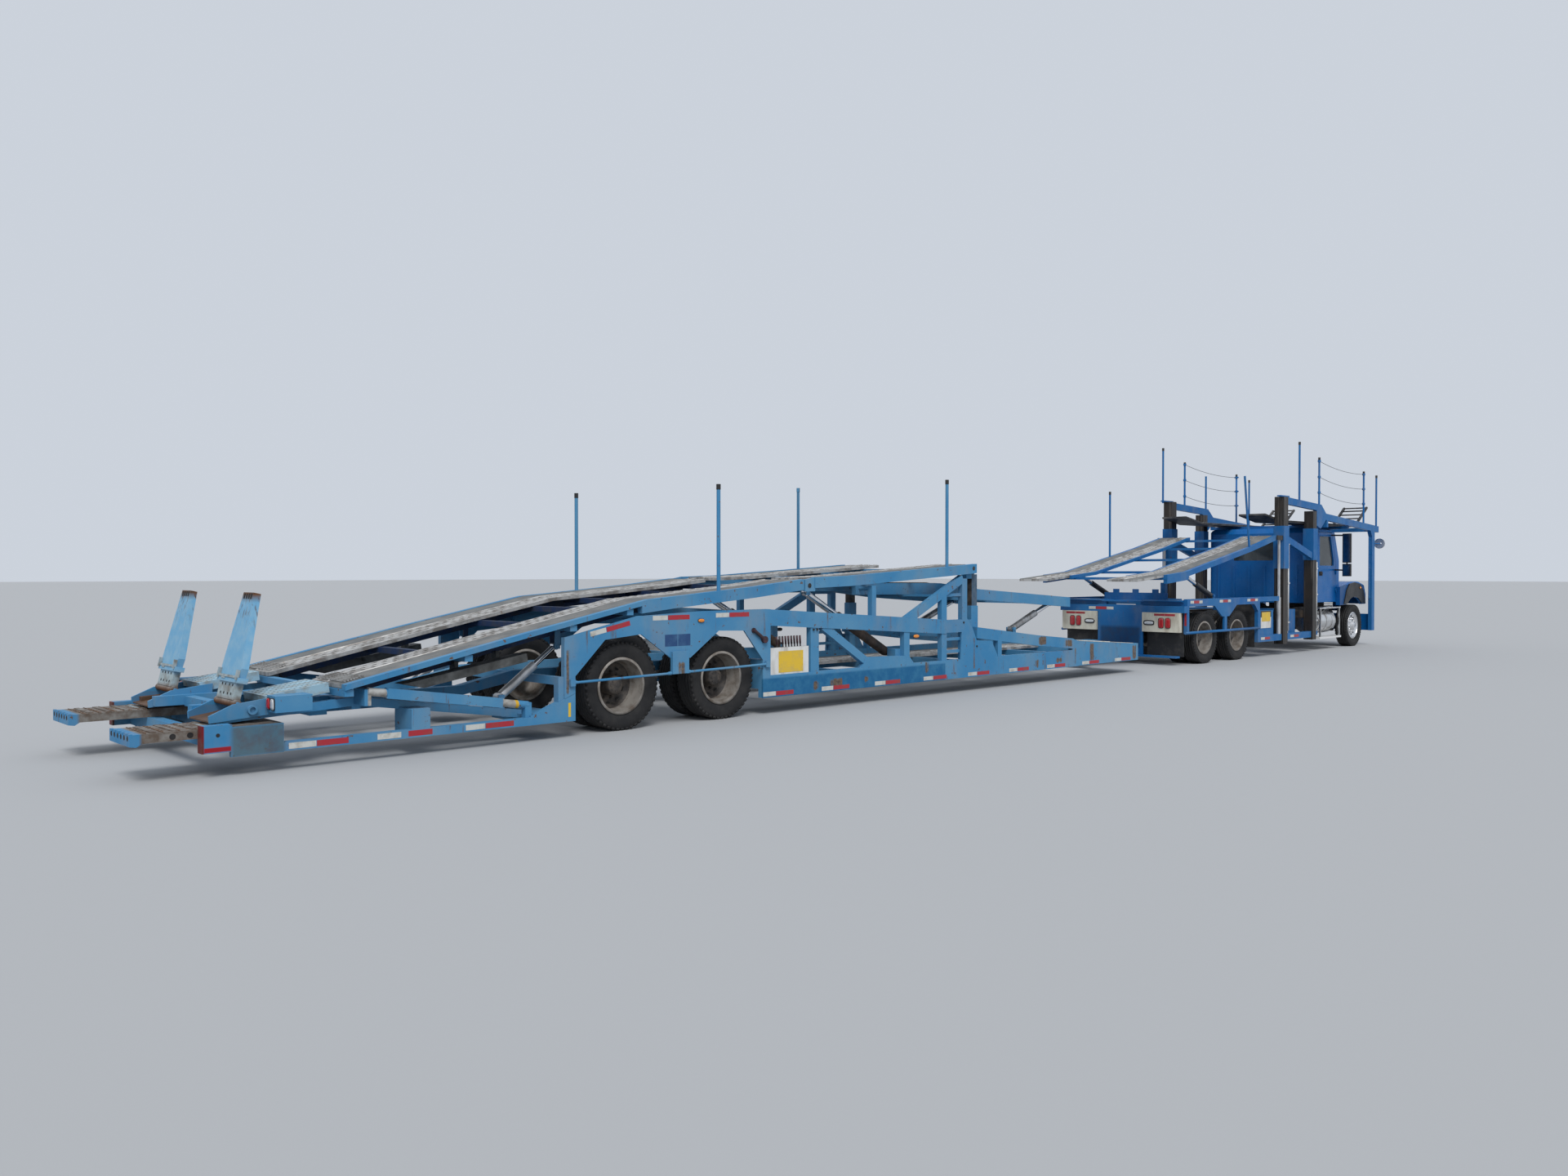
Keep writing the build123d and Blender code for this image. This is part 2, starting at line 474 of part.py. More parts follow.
# Doors, each with its window cut, its pane and a mirror on two arms
for s, letter in ((-1, "r"), (1, "l")):
    door = slab(door_side, s * (CAB_Y - WALL), s * CAB_Y) - slab(window_side, s * (CAB_Y - WALL - 5), s * (CAB_Y + 5))
    head = block((7950, 8010), (s * 1330, s * 1500), (1850, 2480))
    low = block((7950, 8010), (s * 1330, s * 1500), (1560, 1830))
    arms = [rod((8200, s * (CAB_Y - 20), 1700), (7980, s * 1415, 1690), 16),
            rod((7990, s * (CAB_Y - 20), 2450), (7980, s * 1415, 2440), 16)]
    spine = rod((7980, s * 1415, 1600), (7980, s * 1415, 2470), 16)
    leaves = []
    for z in DOOR_HINGE_Z:
        leaves.append(rod((DOOR_HINGE[0], s * DOOR_HINGE[1], z), (DOOR_HINGE[0], s * DOOR_HINGE[1], z + 50), 12))
        leaves.append(block((DOOR_HINGE[0] - 44, DOOR_HINGE[0]), (s * (CAB_Y - 5), s * (CAB_Y + 10)), (z, z + 50)))
    add(f"door_{letter}", [fused([door] + arms + [spine, head, low] + leaves)], HITCH_X)
    add(f"door_glass_{letter}", [slab(window_side, s * (CAB_Y - 34), s * (CAB_Y - 26))], HITCH_X)

# What shows through the glass: two seats, the dash and the steering wheel
seats = []
for y in (-520, 520):
    seats.append(fused([block((7300, 7800), (y - 230, y + 230), (1060, 1480)), block((7240, 7400), (y - 220, y + 220), (1400, 2150))]))
dash = slab([(8460, 1300), (8460, 1700), (8300, 1740), (8150, 1640), (8150, 1400)], -940, 940)
column = rod((8200, 520, 1560), (7943, 520, 1710), 28)
wheel_plane = Plane(origin=(7950, 520, 1706), z_dir=(-240, 0, 140))
wheel = wheel_plane * (Cylinder(225, 26) - Cylinder(195, 40)) + wheel_plane * Box(420, 50, 20)
add("cab_interior", seats + [fused([dash, column, wheel])], HITCH_X)

# Hood: a tilting shell with the two fenders and open wheel arches
def hood_loft(sections):
    """Bonnet form through upright sections, from (x, half width, low, top, corner radius) rows."""
    faces = []
    for x, half, low, top, corner in sections:
        face = Pos(0, (low + top) / 2) * Rectangle(2 * half, top - low)
        face = fillet(face.vertices().group_by(Axis.Y)[-1], corner)
        faces.append(Plane(origin=(x, 0, 0), x_dir=(0, 1, 0), z_dir=(1, 0, 0)) * face)
    return loft(faces, ruled=True)


# x, half width, low, top, corner radius
crown = [(HOOD_X[0], 800, 1000, 1775, 150), (9000, 765, 1000, 1580, 140), (9500, 700, 1000, 1435, 130),
         (HOOD_X[1], 640, 1000, 1290, 110)]
hollow = [(HOOD_X[0] - 5, 750, 700, 1725, 110), (9000, 715, 700, 1530, 100), (9500, 650, 700, 1385, 90),
          (9790, 600, 700, 1250, 80)]
bonnet = fused([hood_loft(crown), block((9650, HOOD_X[1]), (-640, 640), (760, 1100))])
core = hood_loft(hollow)
fender_side = [(8310, 930), (8310, 1330), (8700, 1400), (8900, 1440), (9400, 1440), (9700, 1350), (9800, 1150), (9800, 930)]
fender_end = [(640, 900), (640, 1460), (1070, 1460), (1125, 1425), (1150, 1370), (1150, 900)]
fenders = both(slab(fender_side, 640, 1150) & front_slab(fender_end, 8300, 9810))
flare_side = [(8494, 949), (8640, 1250), (8800, 1390), (9099, 1425), (9420, 1385), (9620, 1230), (9739, 949)]
fenders += both(slab(flare_side, 1140, 1176))
inner_fender = both(slab([(8360, 900), (8360, 1290), (8715, 1360), (8905, 1400), (9390, 1400), (9675, 1315), (9760, 1140), (9760, 900)], 600, 1110))
hood = fused([bonnet] + fenders)
for hole in [core] + inner_fender:
    hood = hood - hole
hinge_bore = cross_rod(*HOOD_HINGE, 400, HOOD_PIN_R + FIT)
lugs = both(block((HOOD_HINGE[0] - 18, HOOD_HINGE[0] + 18), (300, 330), (HOOD_HINGE[1] - 18, 800)))
arch = rod((STEER_AXLE, -1300, TYRE_R), (STEER_AXLE, 1300, TYRE_R), ARCH_R)
mouth = block((9780, 9860), (-430, 430), (830, 1200))
grille = [block((9812, 9838), (-440, 440), (z, z + 14)) for z in range(860, 1200, 44)]
grille += [block((9806, 9838), (y - 9, y + 9), (825, 1205)) for y in (-215, 0, 215)]
hood = hood - arch - block((8200, HOOD_X[0]), (-CAB_Y - 1, CAB_Y + 1), (900, 2000))
lamp_boxes = both(block((9740, 9862), (760, 1040), (980, 1180)))
hood = hood - mouth
add("hood", [fused(hood.solids() + lamp_boxes + lugs + grille) - hinge_bore], HITCH_X)

# Engine, one plain block between the chassis rails, and the bumper under the nose
add("engine_block", [block((8540, 9500), (-330, 330), (640, 1340))], HITCH_X)
bumper = [block((9870, 9990), (-SIDE_Y + 85, SIDE_Y - 85), (330, 700))]
eye_x, eye_z = TOW_EYE
bumper += both(block((9985, eye_x), TOW_EYE_Y, (eye_z - 52, eye_z + 52)),
               rod((eye_x, TOW_EYE_Y[0], eye_z), (eye_x, TOW_EYE_Y[1], eye_z), 52))
add("front_bumper", [fused(bumper) - cross_rod(*TOW_EYE, 600, TOW_BORE_R)], HITCH_X)

# Fuel tanks with their straps, steps, and the boxes along the chassis
tanks = []
for s in (-1, 1):
    can = rod((7090, s * 905, 600), (8050, s * 905, 600), 255)
    straps = [rod((x, s * 905, 600), (x + 50, s * 905, 600), 262) for x in (7250, 7560, 7860)]
    brackets = [block((x, x + 50), (s * CHASSIS_Y[1], s * 905), (560, 640)) for x in (7250, 7860)]
    upper = block((7100, 8230), (s * 960, s * 1195), (870, 900))
    lower = block((7100, 8250), (s * 1010, s * 1200), (235, 275))
    posts = [block((x, x + 40), (s * 1165, s * 1195), (260, 880)) for x in (7140, 8150)]
    arms = [block((x, x + 50), (s * 900, s * 1000), (830, 890)) for x in (7250, 7860)]
    tanks.append(fused([can, upper, lower] + straps + brackets + posts + arms))
add("tanks_and_steps", tanks, HITCH_X)
boxes = both(block((4130, 4720), (700, 1230), (425, 905)),
             block((5560, 6120), (CHASSIS_Y[1], 1080), (360, 890)))
add("side_boxes", boxes, HITCH_X)

# Truck ramp deck: bent side rails, inner rails, ties, hinge lugs and two tracks
deck = []
for s in (-1, 1):
    deck.append(rail(TRUCK_DECK_TOP[1:], 95, s * 1180, s * 1250))
    deck.append(rail([(300, 1590)] + TRUCK_DECK_TOP[1:], 60, s * 540, s * 590))
    deck.append(rail([(440, 1602), (1140, 1660), (1200, 1671)], 150, s * 1180, s * 1250))
    deck.append(rod((TRUCK_DECK_HINGE[0], s * 1180, TRUCK_DECK_HINGE[1]), (TRUCK_DECK_HINGE[0], s * 1250, TRUCK_DECK_HINGE[1]), 45))
    deck += open_clevis(TRUCK_LIFT[1], s * TRUCK_LIFT_Y, RAM_PIN_R, TRUCK_LIFT_R[1] + 4, TRUCK_LIFT[1][1] - 40, 1650, 90)
deck += [bar_under(TRUCK_DECK_TOP, x, 42, 1240, (70, 45)) for x in (470, 1440, 2700, 3900, 4740)]
deck_poles = [rod((x, s * 1215, z), (x + lean, s * 1215, top), 20) for x, z, top, lean, s in
              ((2750, 1930, 3257, 0, 1), (3680, 2110, 3470, -210, -1))]
hinge_bore = cross_rod(*TRUCK_DECK_HINGE, 1300, 20 + FIT)
add("truck_deck", [fused(deck + deck_poles) - hinge_bore], HITCH_X)
truck_tracks = both(rail([(x, z - 2) for x, z in TRUCK_DECK_TOP], 40, 592, 1178))
add("truck_deck_tracks", truck_tracks, HITCH_X)


def lift(pins, y, barrel_r, rod_r, inner=110, barrel_share=0.62, eye_r=45):
    """Barrel and rod of a deck lift in its rest place, as two lists of solids for one side."""
    foot, head = pins
    run = math.dist(foot, head)
    collar = along(foot, head, run * barrel_share)
    start = along(foot, head, eye_r - 8)
    barrel = rod((start[0], y, start[1]), (collar[0], y, collar[1]), barrel_r)
    barrel = barrel - rod((foot[0], y, foot[1]), (head[0], y, head[1]), rod_r + FIT)
    plug = rod((start[0], y, start[1]), (along(foot, head, 90)[0], y, along(foot, head, 90)[1]), barrel_r - 1)
    eye = rod((foot[0], y - 35, foot[1]), (foot[0], y + 35, foot[1]), eye_r)
    barrel = fused([barrel, plug, eye])
    barrel = barrel - rod((foot[0], y - 50, foot[1]), (foot[0], y + 50, foot[1]), LIFT_PIN_R + FIT)
    inner_end = along(foot, head, inner)
    tip = along(foot, head, run - eye_r + 8)
    ram = rod((inner_end[0], y, inner_end[1]), (tip[0], y, tip[1]), rod_r)
    ram_eye = rod((head[0], y - 28, head[1]), (head[0], y + 28, head[1]), eye_r - 5)
    pin = rod((head[0], y - rod_r, head[1]), (head[0], y + rod_r, head[1]), RAM_PIN_R)
    return barrel, fused([ram, ram_eye, pin])


for name, place, pins, y, radii in (("truck_lift", HITCH_X, TRUCK_LIFT, TRUCK_LIFT_Y, TRUCK_LIFT_R),
                                    ("tail_lift", TRAILER_X, TAIL_LIFT, LIFT_Y, TAIL_LIFT_R),
                                    ("front_lift", TRAILER_X, FRONT_LIFT, FRONT_LIFT_Y, FRONT_LIFT_R),
                                    ("neck_lift", TRAILER_X, NECK_LIFT, LIFT_Y, NECK_LIFT_R)):
    barrel, ram = lift(pins, y, *radii)
    add(f"{name}_barrels", both(barrel), place)
    add(f"{name}_rods", both(ram), place)

# Trailer frame: sills, neck rails, nose and tongue, cross members, tail arms and bumper bars
frame = []
for s in (-1, 1):
    y0, y1 = s * (SIDE_Y - RAIL_T), s * SIDE_Y
    frame.append(block((SILL_X[0], 8620), (y0, y1), SILL_Z))
    frame.append(rail(NECK_TOP, 155, y0, y1))
    frame.append(slab([(8440, 205), *[(8440, 632)], *NOSE_TOP, (SILL_X[1], 205)], y0, y1))
    frame.append(block((6500, 6590), (y0, y1), (440, 800)))
    frame.append(block((-3510, -1100), (y0, y1), (165, 240)))
    frame.append(block((-2380, -2200), (s * 960, y1), (165, 420)))
    frame.append(slab([(-1290, 190), (-655, 430), (-635, 440), (-635, 164), (-1250, 164)], y0, y1))
    frame.append(block((-3930, -3510), (s * (SIDE_Y - 40), y1), (160, 400)))
    frame.append(block((-4150, -3920), (s * 1185, y1), (205, 424)))
    frame.append(block((-4000, -3900), (0, s * SIDE_Y), (205, 317.5)))
    frame.append(strut((-3960, 440), (-2780, 505), 75, s * 960, s * 1040))
    frame.append(strut((-2790, 505), (-1060, 245), 75, s * 960, s * 1040))
    frame.append(block((-1150, -760), (s * 560, s * SIDE_Y), (180, 260)))
    frame.append(slab([(-3990, 520), (-1500, 520), (-900, 640), (2045, 640), (2045, 532), (-850, 532), (-1450, 430),
                       (-3990, 430)], s * 440, s * 540))
    frame.append(block((-830, -763), (s * 530, s * (SIDE_Y - 10)), (532, 612)))
    frame.append(block((-830, -763), (s * 1200, s * (SIDE_Y - 10)), (180, 612)))
    frame += clevis(TAIL_LIFT[0], s * LIFT_Y, LIFT_PIN_R, TAIL_LIFT_R[0] + 3, 240, TAIL_LIFT[0][1] + 30)
    frame.append(block((-1320, -1260), (s * 860, s * 1040), (240, 300)))
    frame += clevis(NECK_LIFT[0], s * LIFT_Y, LIFT_PIN_R, NECK_LIFT_R[0] + 3, 640, NECK_LIFT[0][1] + 30)
    frame.append(block((-3620, -3540), (s * 440, s * (SIDE_Y - 10)), (225, 317.5)))
    frame.append(block((-3620, -3540), (s * 440, s * 540), (225, 520)))
    for y_in, y_out in ((530, 560), (1037, 1060)):
        frame.append(slab(CHANNEL_SIDE, s * y_in, s * y_out))
    frame.append(slab([(-4015, 418), (-4015, 430), (-3560, 500), (-3560, 488)], s * 550, s * 1045))
    boss_x, boss_z = CHANNEL_BOSS
    frame.append(rod((boss_x, s * 1050, boss_z), (boss_x, s * 1092, boss_z), 40) -
                 rod((boss_x, s * 1070, boss_z), (boss_x, s * 1100, boss_z), 24))
    frame.append(strut(*TAIL_ARM, 90, s * 1190, s * 1270))
    frame.append(rod((-2765, s * 1230, 603), (-2560, s * 1230, 572), 38))
    frame.append(rod((-1470, s * 1230, 407), (-1150, s * 1230, 358), 38))
    frame.append(block((-2800, -2740), (s * 1030, s * 1255), (480, 625)))
    frame.append(block((-1195, -1125), (s * 1195, s * 1265), (190, 385)))
    frame.append(rod((FLIP_HINGE[0], s * 535, FLIP_HINGE[1]), (FLIP_HINGE[0], s * 1058, FLIP_HINGE[1]), FLIP_PIN_R))
    frame.append(block((1935, 2045), (s * 440, s * (SIDE_Y - PLATE_T)), (300, 640)))
frame += [cross_bar(x, 330, SIDE_Y - 10, (90, 90)) for x in (3000, 4300, 5600, 6900, 8200, 9400)]
frame += [cross_bar(x, z, 450, (90, 90)) for x, z in ((-3700, 510), (-2300, 510), (-900, 630), (690, 630))]
frame.append(cross_bar(-2780, 515, 1040, (80, 80)))
frame.append(block((10290, 10410), (-SIDE_Y, SIDE_Y), (205, 478)))
frame.append(block((NECK_LIFT[0][0] - 40, NECK_LIFT[0][0] + 40), (-SIDE_Y + 20, SIDE_Y - 20), (640, 715)))
tongue_outline = make_face(Polyline((10300, -520), (HITCH_REACH - 60, -150), (HITCH_REACH + 120, -110),
                                    (HITCH_REACH + 120, 110), (HITCH_REACH - 60, 150), (10300, 520), close=True))
tongue = Pos(0, 0, TONGUE_Z[0]) * extrude(tongue_outline, TONGUE_Z[1] - TONGUE_Z[0])
socket = rod((HITCH_REACH, 0, 300), (HITCH_REACH, 0, 600), BALL_R + FIT)
frame.append(tongue)
add("trailer_frame", [fused(frame) - socket], TRAILER_X)

# Trailer sides: arched wheel plates, upper chord, truss posts, gussets, ladder, front columns
# and the guard rod across the wheels
plate_side = [(-763, 392), (-763, 1000), (130, 1190), (980, 1222), (2050, 1222), (2050, 455), (1930, 455), (1930, 640),
              (1640, 987), (1260, 1000), (850, 720), (595, 720), (183, 1000), (-273, 960), (-635, 610), (-635, 441)]
trusses = []
for s in (-1, 1):
    y1 = s * SIDE_Y
    y0 = s * (SIDE_Y - PLATE_T)
    box0 = s * (SIDE_Y - RAIL_T)
    parts = [slab(plate_side, y0, y1)]
    parts.append(block((-763, -635), (s * (SIDE_Y - 60), y1), (441, 1000)))
    parts.append(slab([(130, 1190), (980, 1222), (2050, 1222), (2050, 1060), (900, 1060), (200, 1060)], box0, y1))
    parts.append(slab([(2010, 1222), (5325, 1007), (5325, 816), (2010, 1033)], box0, y1))
    parts.append(block((5230, 5800), (box0, y1), (830, 1000)))
    parts.append(block((2720, 2860), (box0, s * (SIDE_Y - 8)), (455, 1010)))
    parts.append(strut((2940, 1000), (3740, 520), 100, box0, s * (SIDE_Y - 8)))
    parts.append(block((4450, 4560), (box0, s * (SIDE_Y - 8)), (500, 900)))
    parts.append(slab([(3625, 455), (3726, 580), (4539, 561), (4642, 455)], box0, y1))
    parts.append(strut((4500, 1010), (5700, 1560), 110, box0, s * (SIDE_Y - 8)))
    for x in (5230, 5680):
        parts.append(block((x, x + 110), (box0, s * (SIDE_Y - 8)), (455, 1560 if x > 5500 else 1340)))
    for z in (550, 720, 1320):
        parts.append(block((5300, 5720), (box0, s * (SIDE_Y - 30)), (z, z + 40)))
    parts.append(slab([(5638, 455), (5673, 1032), (5750, 1040), (5900, 887), (6005, 700), (6350, 680), (6487, 475),
                       (6487, 455)], y0, y1))
    column = block((COLUMN_X - 60, COLUMN_X + 60), (s * COLUMN_Y[0], s * COLUMN_Y[1]), (455, 1620))
    collar = block((COLUMN_X - 75, COLUMN_X + 75), (s * (COLUMN_Y[0] - 15), s * 1207), (700, 1180))
    link = block((5780, 5995), (s * 1190, s * 1225), (880, 990))
    ear = block((FRONT_HINGE[0] - 50, COLUMN_X), (s * COLUMN_Y[0], s * COLUMN_Y[1]), (1560, FRONT_HINGE[1] + 45))
    pin = rod((FRONT_HINGE[0], s * 1150, FRONT_HINGE[1]), (FRONT_HINGE[0], s * 1286, FRONT_HINGE[1]), DECK_PIN_R)
    parts += [column, collar, link, ear, pin]
    parts.append(block((NECK_HINGE[0] - 40, NECK_HINGE[0] + 40), (box0, s * (SIDE_Y - 8)), (1000, NECK_HINGE[1] + 40)))
    parts.append(rod((NECK_HINGE[0], s * 975, NECK_HINGE[1]), (NECK_HINGE[0], s * 1250, NECK_HINGE[1]), 25))
    foot_y = s * (FRONT_LIFT_Y + FRONT_LIFT_R[0] + 6)
    parts.append(block((4350, 4460), (foot_y, s * 1215), (500, 650)))
    parts.append(rod((FRONT_LIFT[0][0], s * (FRONT_LIFT_Y - 42), FRONT_LIFT[0][1]),
                     (FRONT_LIFT[0][0], foot_y, FRONT_LIFT[0][1]), LIFT_PIN_R))
    parts.append(rod((-660, s * (SIDE_Y + 14), 548), (1990, s * (SIDE_Y + 14), 590), 13))
    parts.append(block((575, 800), (y1, s * (SIDE_Y + 40)), (560, 800)))
    for x, z in ((-680, 548), (1990, 590)):
        parts.append(block((x - 30, x + 30), (y1, s * (SIDE_Y + 28)), (z - 35, z + 35)))
    trusses.append(fused(parts))
add("trailer_sides", trusses, TRAILER_X)

# Trailer axles with the hangers that carry them
trailer_axles = []
for axle in TRAILER_AXLES:
    hangers = both(block((axle - 110, axle + 110), (445, 535), (TYRE_R - 40, 532)))
    trailer_axles.append(fused(axle_tube(axle) + hangers))
add("trailer_axles", trailer_axles, TRAILER_X)

# Lower wheel tracks on the trailer floor
lower_tracks = both(block((2060, 10280), (560, 1150), (330, 372)))
add("lower_tracks", lower_tracks, TRAILER_X)

# Valve bank: a white board with a row of levers above it
board = both(block((2062, 2690), (SIDE_Y - 40, SIDE_Y - 14), (455, 770)))
levers = [rod((2180 + 48 * i, -(SIDE_Y - 27), 765), (2170 + 48 * i, -(SIDE_Y - 27), 900), 9) for i in range(9)]
add("valve_boards", [fused([board[1]] + levers), board[0]], TRAILER_X)

# Tail lamp boxes on the tail arms
tail_lamps = both(block((-3560, -3250), (1060, 1240), (480, 618)))
add("tail_lamp_boxes", tail_lamps, TRAILER_X)

# Tail deck, from the tail up to the hinge with the front deck
tail_deck = []
for s in (-1, 1):
    y0, y1 = s * 1210, s * SIDE_Y
    tail_deck.append(rail(TAIL_DECK_TOP, 50, y0, y1))
    tail_deck.append(rail([(200, 1345), (618, 1388)] + MID_DECK_TOP[1:], 128, y0, y1))
    tail_deck.append(rail([(-2700, 690), (-1228, 1003), (282, 1312), (618, 1338), (1804, 1435), (2500, 1504)], 110, s * 860, s * 940))
    tail_deck.append(rod((DECK_HINGE[0], s * 1215, DECK_HINGE[1]), (DECK_HINGE[0], s * 1245, DECK_HINGE[1]), 70))
    tail_deck.append(slab([(2560, 1562), (2600, 1566), (2700, 1560), (2700, 1420), (2560, 1436)], s * 1215, s * 1245))
    tail_deck.append(rod((DECK_HINGE[0], s * 1220, DECK_HINGE[1]), (DECK_HINGE[0], s * 1285, DECK_HINGE[1]), DECK_PIN_R))
    tail_deck += open_clevis(TAIL_LIFT[1], s * LIFT_Y, RAM_PIN_R, TAIL_LIFT_R[1] + 8, TAIL_LIFT[1][1] - 30, 1080)
for x, z, s in ((1100, 2640, 1), (1290, 2630, -1)):
    tail_deck.append(rod((x, s * 1250, 1390), (x, s * 1250, z), 22))
tail_deck += [bar_under(TAIL_DECK_TOP, x, 47, SIDE_Y - 20) for x in (-2943, -1800, -640, 60)]
tail_deck += [bar_under(MID_DECK_TOP, x, 46.5, SIDE_Y - 20) for x in (700, 1600, 2400)]
add("tail_deck", [fused(tail_deck)], TRAILER_X)
tail_top = [(x, z - 8) for x, z in TAIL_DECK_TOP[:3] + MID_DECK_TOP]
tail_top[0] = (-2960, tail_top[0][1] + 5)
add("tail_deck_tracks", both(rail(tail_top, 38, TRACK_Y[0], TRACK_Y[1] - 2)), TRAILER_X)

# Front deck over the neck, hinged at the columns
front_deck = []
for s in (-1, 1):
    y0, y1 = s * 1210, s * SIDE_Y
    front_deck.append(rail(FRONT_DECK_TOP, 128, y0, y1))
    front_deck.append(slab([(2625, 1560), (2800, 1588), (2800, 1420), (2625, 1420)], s * 1251, s * 1280))
    front_deck.append(rod((5380, s * 1250, 1700), (5380 if s < 0 else 5085, s * 1250, 2900), 22))
    front_deck += open_clevis(FRONT_LIFT[1], s * FRONT_LIFT_Y, RAM_PIN_R, FRONT_LIFT_R[1] + 4, FRONT_LIFT[1][1] - 30, 1510)
front_deck += [bar_under(FRONT_DECK_TOP, x, 48, SIDE_Y - 20, (80, 50)) for x in (2900, 3900, 4800, 5700)]
hinge_bores = [cross_rod(*pin, 1400, DECK_PIN_R + FIT) for pin in (DECK_HINGE, FRONT_HINGE)]
add("front_deck", [fused(front_deck) - hinge_bores[0] - hinge_bores[1]], TRAILER_X)
front_top = [(x, z - 8) for x, z in FRONT_DECK_TOP]
add("front_deck_tracks", both(rail(front_top, 40, TRACK_Y[0], 1100)), TRAILER_X)

# Neck deck, inside the front columns
neck = []
for s in (-1, 1):
    neck.append(rail(NECK_DECK_TOP, 150, s * (NECK_DECK_Y - 70), s * NECK_DECK_Y))
    neck += open_clevis(NECK_LIFT[1], s * LIFT_Y, RAM_PIN_R, NECK_LIFT_R[1] + 4, NECK_LIFT[1][1] - 30, 1225)
neck += [bar_under(NECK_DECK_TOP, x, 40, NECK_DECK_Y, (80, 70)) for x in (3980, 5200, 6600, 7800, 8700)]
neck.append(bar_under(NECK_DECK_TOP, NECK_LIFT[1][0], 40, NECK_DECK_Y, (110, 25)))
hinge_bore = cross_rod(*NECK_HINGE, 1400, 25 + FIT)
add("neck_deck", [fused(neck) - hinge_bore], TRAILER_X)
add("neck_deck_tracks", both(rail([(x, z - 2) for x, z in NECK_DECK_TOP], 38, 480, NECK_DECK_Y - 72)), TRAILER_X)



def flipper_face(foot_w, shoulder_w, tip_w, low, high):
    """Outline of a flipper from half widths: straight foot, wider shoulder, narrow tip."""
    right = [(foot_w, low), (foot_w, 160), (shoulder_w, 290), (tip_w, high)]
    return make_face(Polyline(*right, *[(-w, h) for w, h in reversed(right)], close=True))


# Skids that slide out of the tail, with an upturned comb at the end, and the flippers above them
skid_end = SKID_X[0]
skid_side = [(skid_end, 300), (skid_end, 372), (skid_end + 30, SKID_Z[1]), (SKID_X[1], SKID_Z[1]), (SKID_X[1], SKID_Z[0]),
             (skid_end + 90, SKID_Z[0]), (skid_end + 50, 292)]
skid = [slab(skid_side, *SKID_Y)]
for k in range(6):
    skid.append(block((skid_end, skid_end + 22), (SKID_Y[0] + 94 * k, SKID_Y[0] + 94 * k + 60), (350, 398)))
for x in range(skid_end + 160, SKID_X[1] - 500, 150):
    skid.append(block((x, x + 40), (SKID_Y[0] + 30, SKID_Y[1] - 30), (SKID_Z[1] - 10, SKID_Z[1] + 8)))
add("tail_skids", both(fused(skid)), TRAILER_X)
for s, letter in ((-1, "r"), (1, "l")):
    lean = math.radians(FLIP_LEAN)
    foot = FLIP_HINGE
    tip = (foot[0] + FLIP_LEN * math.sin(lean), foot[1] + FLIP_LEN * math.cos(lean))
    up = Plane(origin=(foot[0], s * FLIP_Y, foot[1]), x_dir=(0, 1, 0), z_dir=(math.cos(lean), 0, -math.sin(lean)))
    foot_w, shoulder_w, tip_w = (w / 2 for w in FLIP_W)
    blade = flipper_face(foot_w, shoulder_w, tip_w, 24, FLIP_LEN)
    pocket = flipper_face(foot_w - 12, shoulder_w - 12, tip_w - 12, 60, FLIP_LEN - 12)
    plate = extrude(up * blade, FLIP_T / 2, both=True) - extrude(up * Pos(0, 0, 12 - FLIP_T / 2) * pocket, FLIP_T)
    clamp = up * Pos(0, 190, 0) * Box(shoulder_w * 2 + 16, 46, FLIP_T + 24)
    plate = fused([plate, clamp - up * Pos(0, 190, 0) * Box(shoulder_w * 2 - 60, 60, FLIP_T - 1)])
    half = (1037 - 560) / 2 - 4
    barrel = rod((foot[0], s * FLIP_Y - half, foot[1]), (foot[0], s * FLIP_Y + half, foot[1]), 32)
    bore = rod((foot[0], s * 500, foot[1]), (foot[0], s * 1100, foot[1]), FLIP_PIN_R + FIT)
    add(f"flipper_{letter}", [fused([plate, barrel]) - bore], TRAILER_X)

os.makedirs("parts", exist_ok=True)
for name, solids in nodes.items():
    export_step(Compound(solids) if len(solids) > 1 else solids[0], f"parts/{name}.step")
print(len(nodes), "nodes")
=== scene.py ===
import bpy, bmesh, math
from mathutils import Vector, Matrix


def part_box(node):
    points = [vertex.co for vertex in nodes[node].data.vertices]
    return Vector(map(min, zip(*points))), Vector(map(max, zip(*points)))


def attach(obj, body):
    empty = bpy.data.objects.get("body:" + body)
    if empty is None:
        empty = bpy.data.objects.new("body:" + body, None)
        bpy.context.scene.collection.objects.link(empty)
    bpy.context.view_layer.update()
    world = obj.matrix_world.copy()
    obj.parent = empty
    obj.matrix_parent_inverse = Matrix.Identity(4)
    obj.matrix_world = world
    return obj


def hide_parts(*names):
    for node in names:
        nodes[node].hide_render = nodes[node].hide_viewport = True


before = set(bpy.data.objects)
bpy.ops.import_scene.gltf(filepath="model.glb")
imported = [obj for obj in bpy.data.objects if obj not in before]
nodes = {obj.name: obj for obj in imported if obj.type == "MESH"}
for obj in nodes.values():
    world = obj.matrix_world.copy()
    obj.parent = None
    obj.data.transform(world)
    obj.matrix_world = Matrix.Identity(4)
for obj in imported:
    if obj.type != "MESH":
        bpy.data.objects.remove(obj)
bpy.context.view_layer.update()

# The place it stands on, and where the onlooker stands: a pale yard floor that runs out
# into a pale sky, one broad soft lamp from the onlooker's side, and a view from the
# right-hand rear corner at head height.
EYE = Vector((-15.61, -11.18, 1.651))
HEADING, TILT = math.radians(45.9), math.radians(-0.775)
sight = Vector((math.cos(HEADING) * math.cos(TILT), math.sin(HEADING) * math.cos(TILT), math.sin(TILT)))
camera = bpy.data.objects.new("onlooker", bpy.data.cameras.new("onlooker"))
bpy.context.collection.objects.link(camera)
camera.location = EYE
camera.rotation_euler = sight.to_track_quat("-Z", "Y").to_euler()
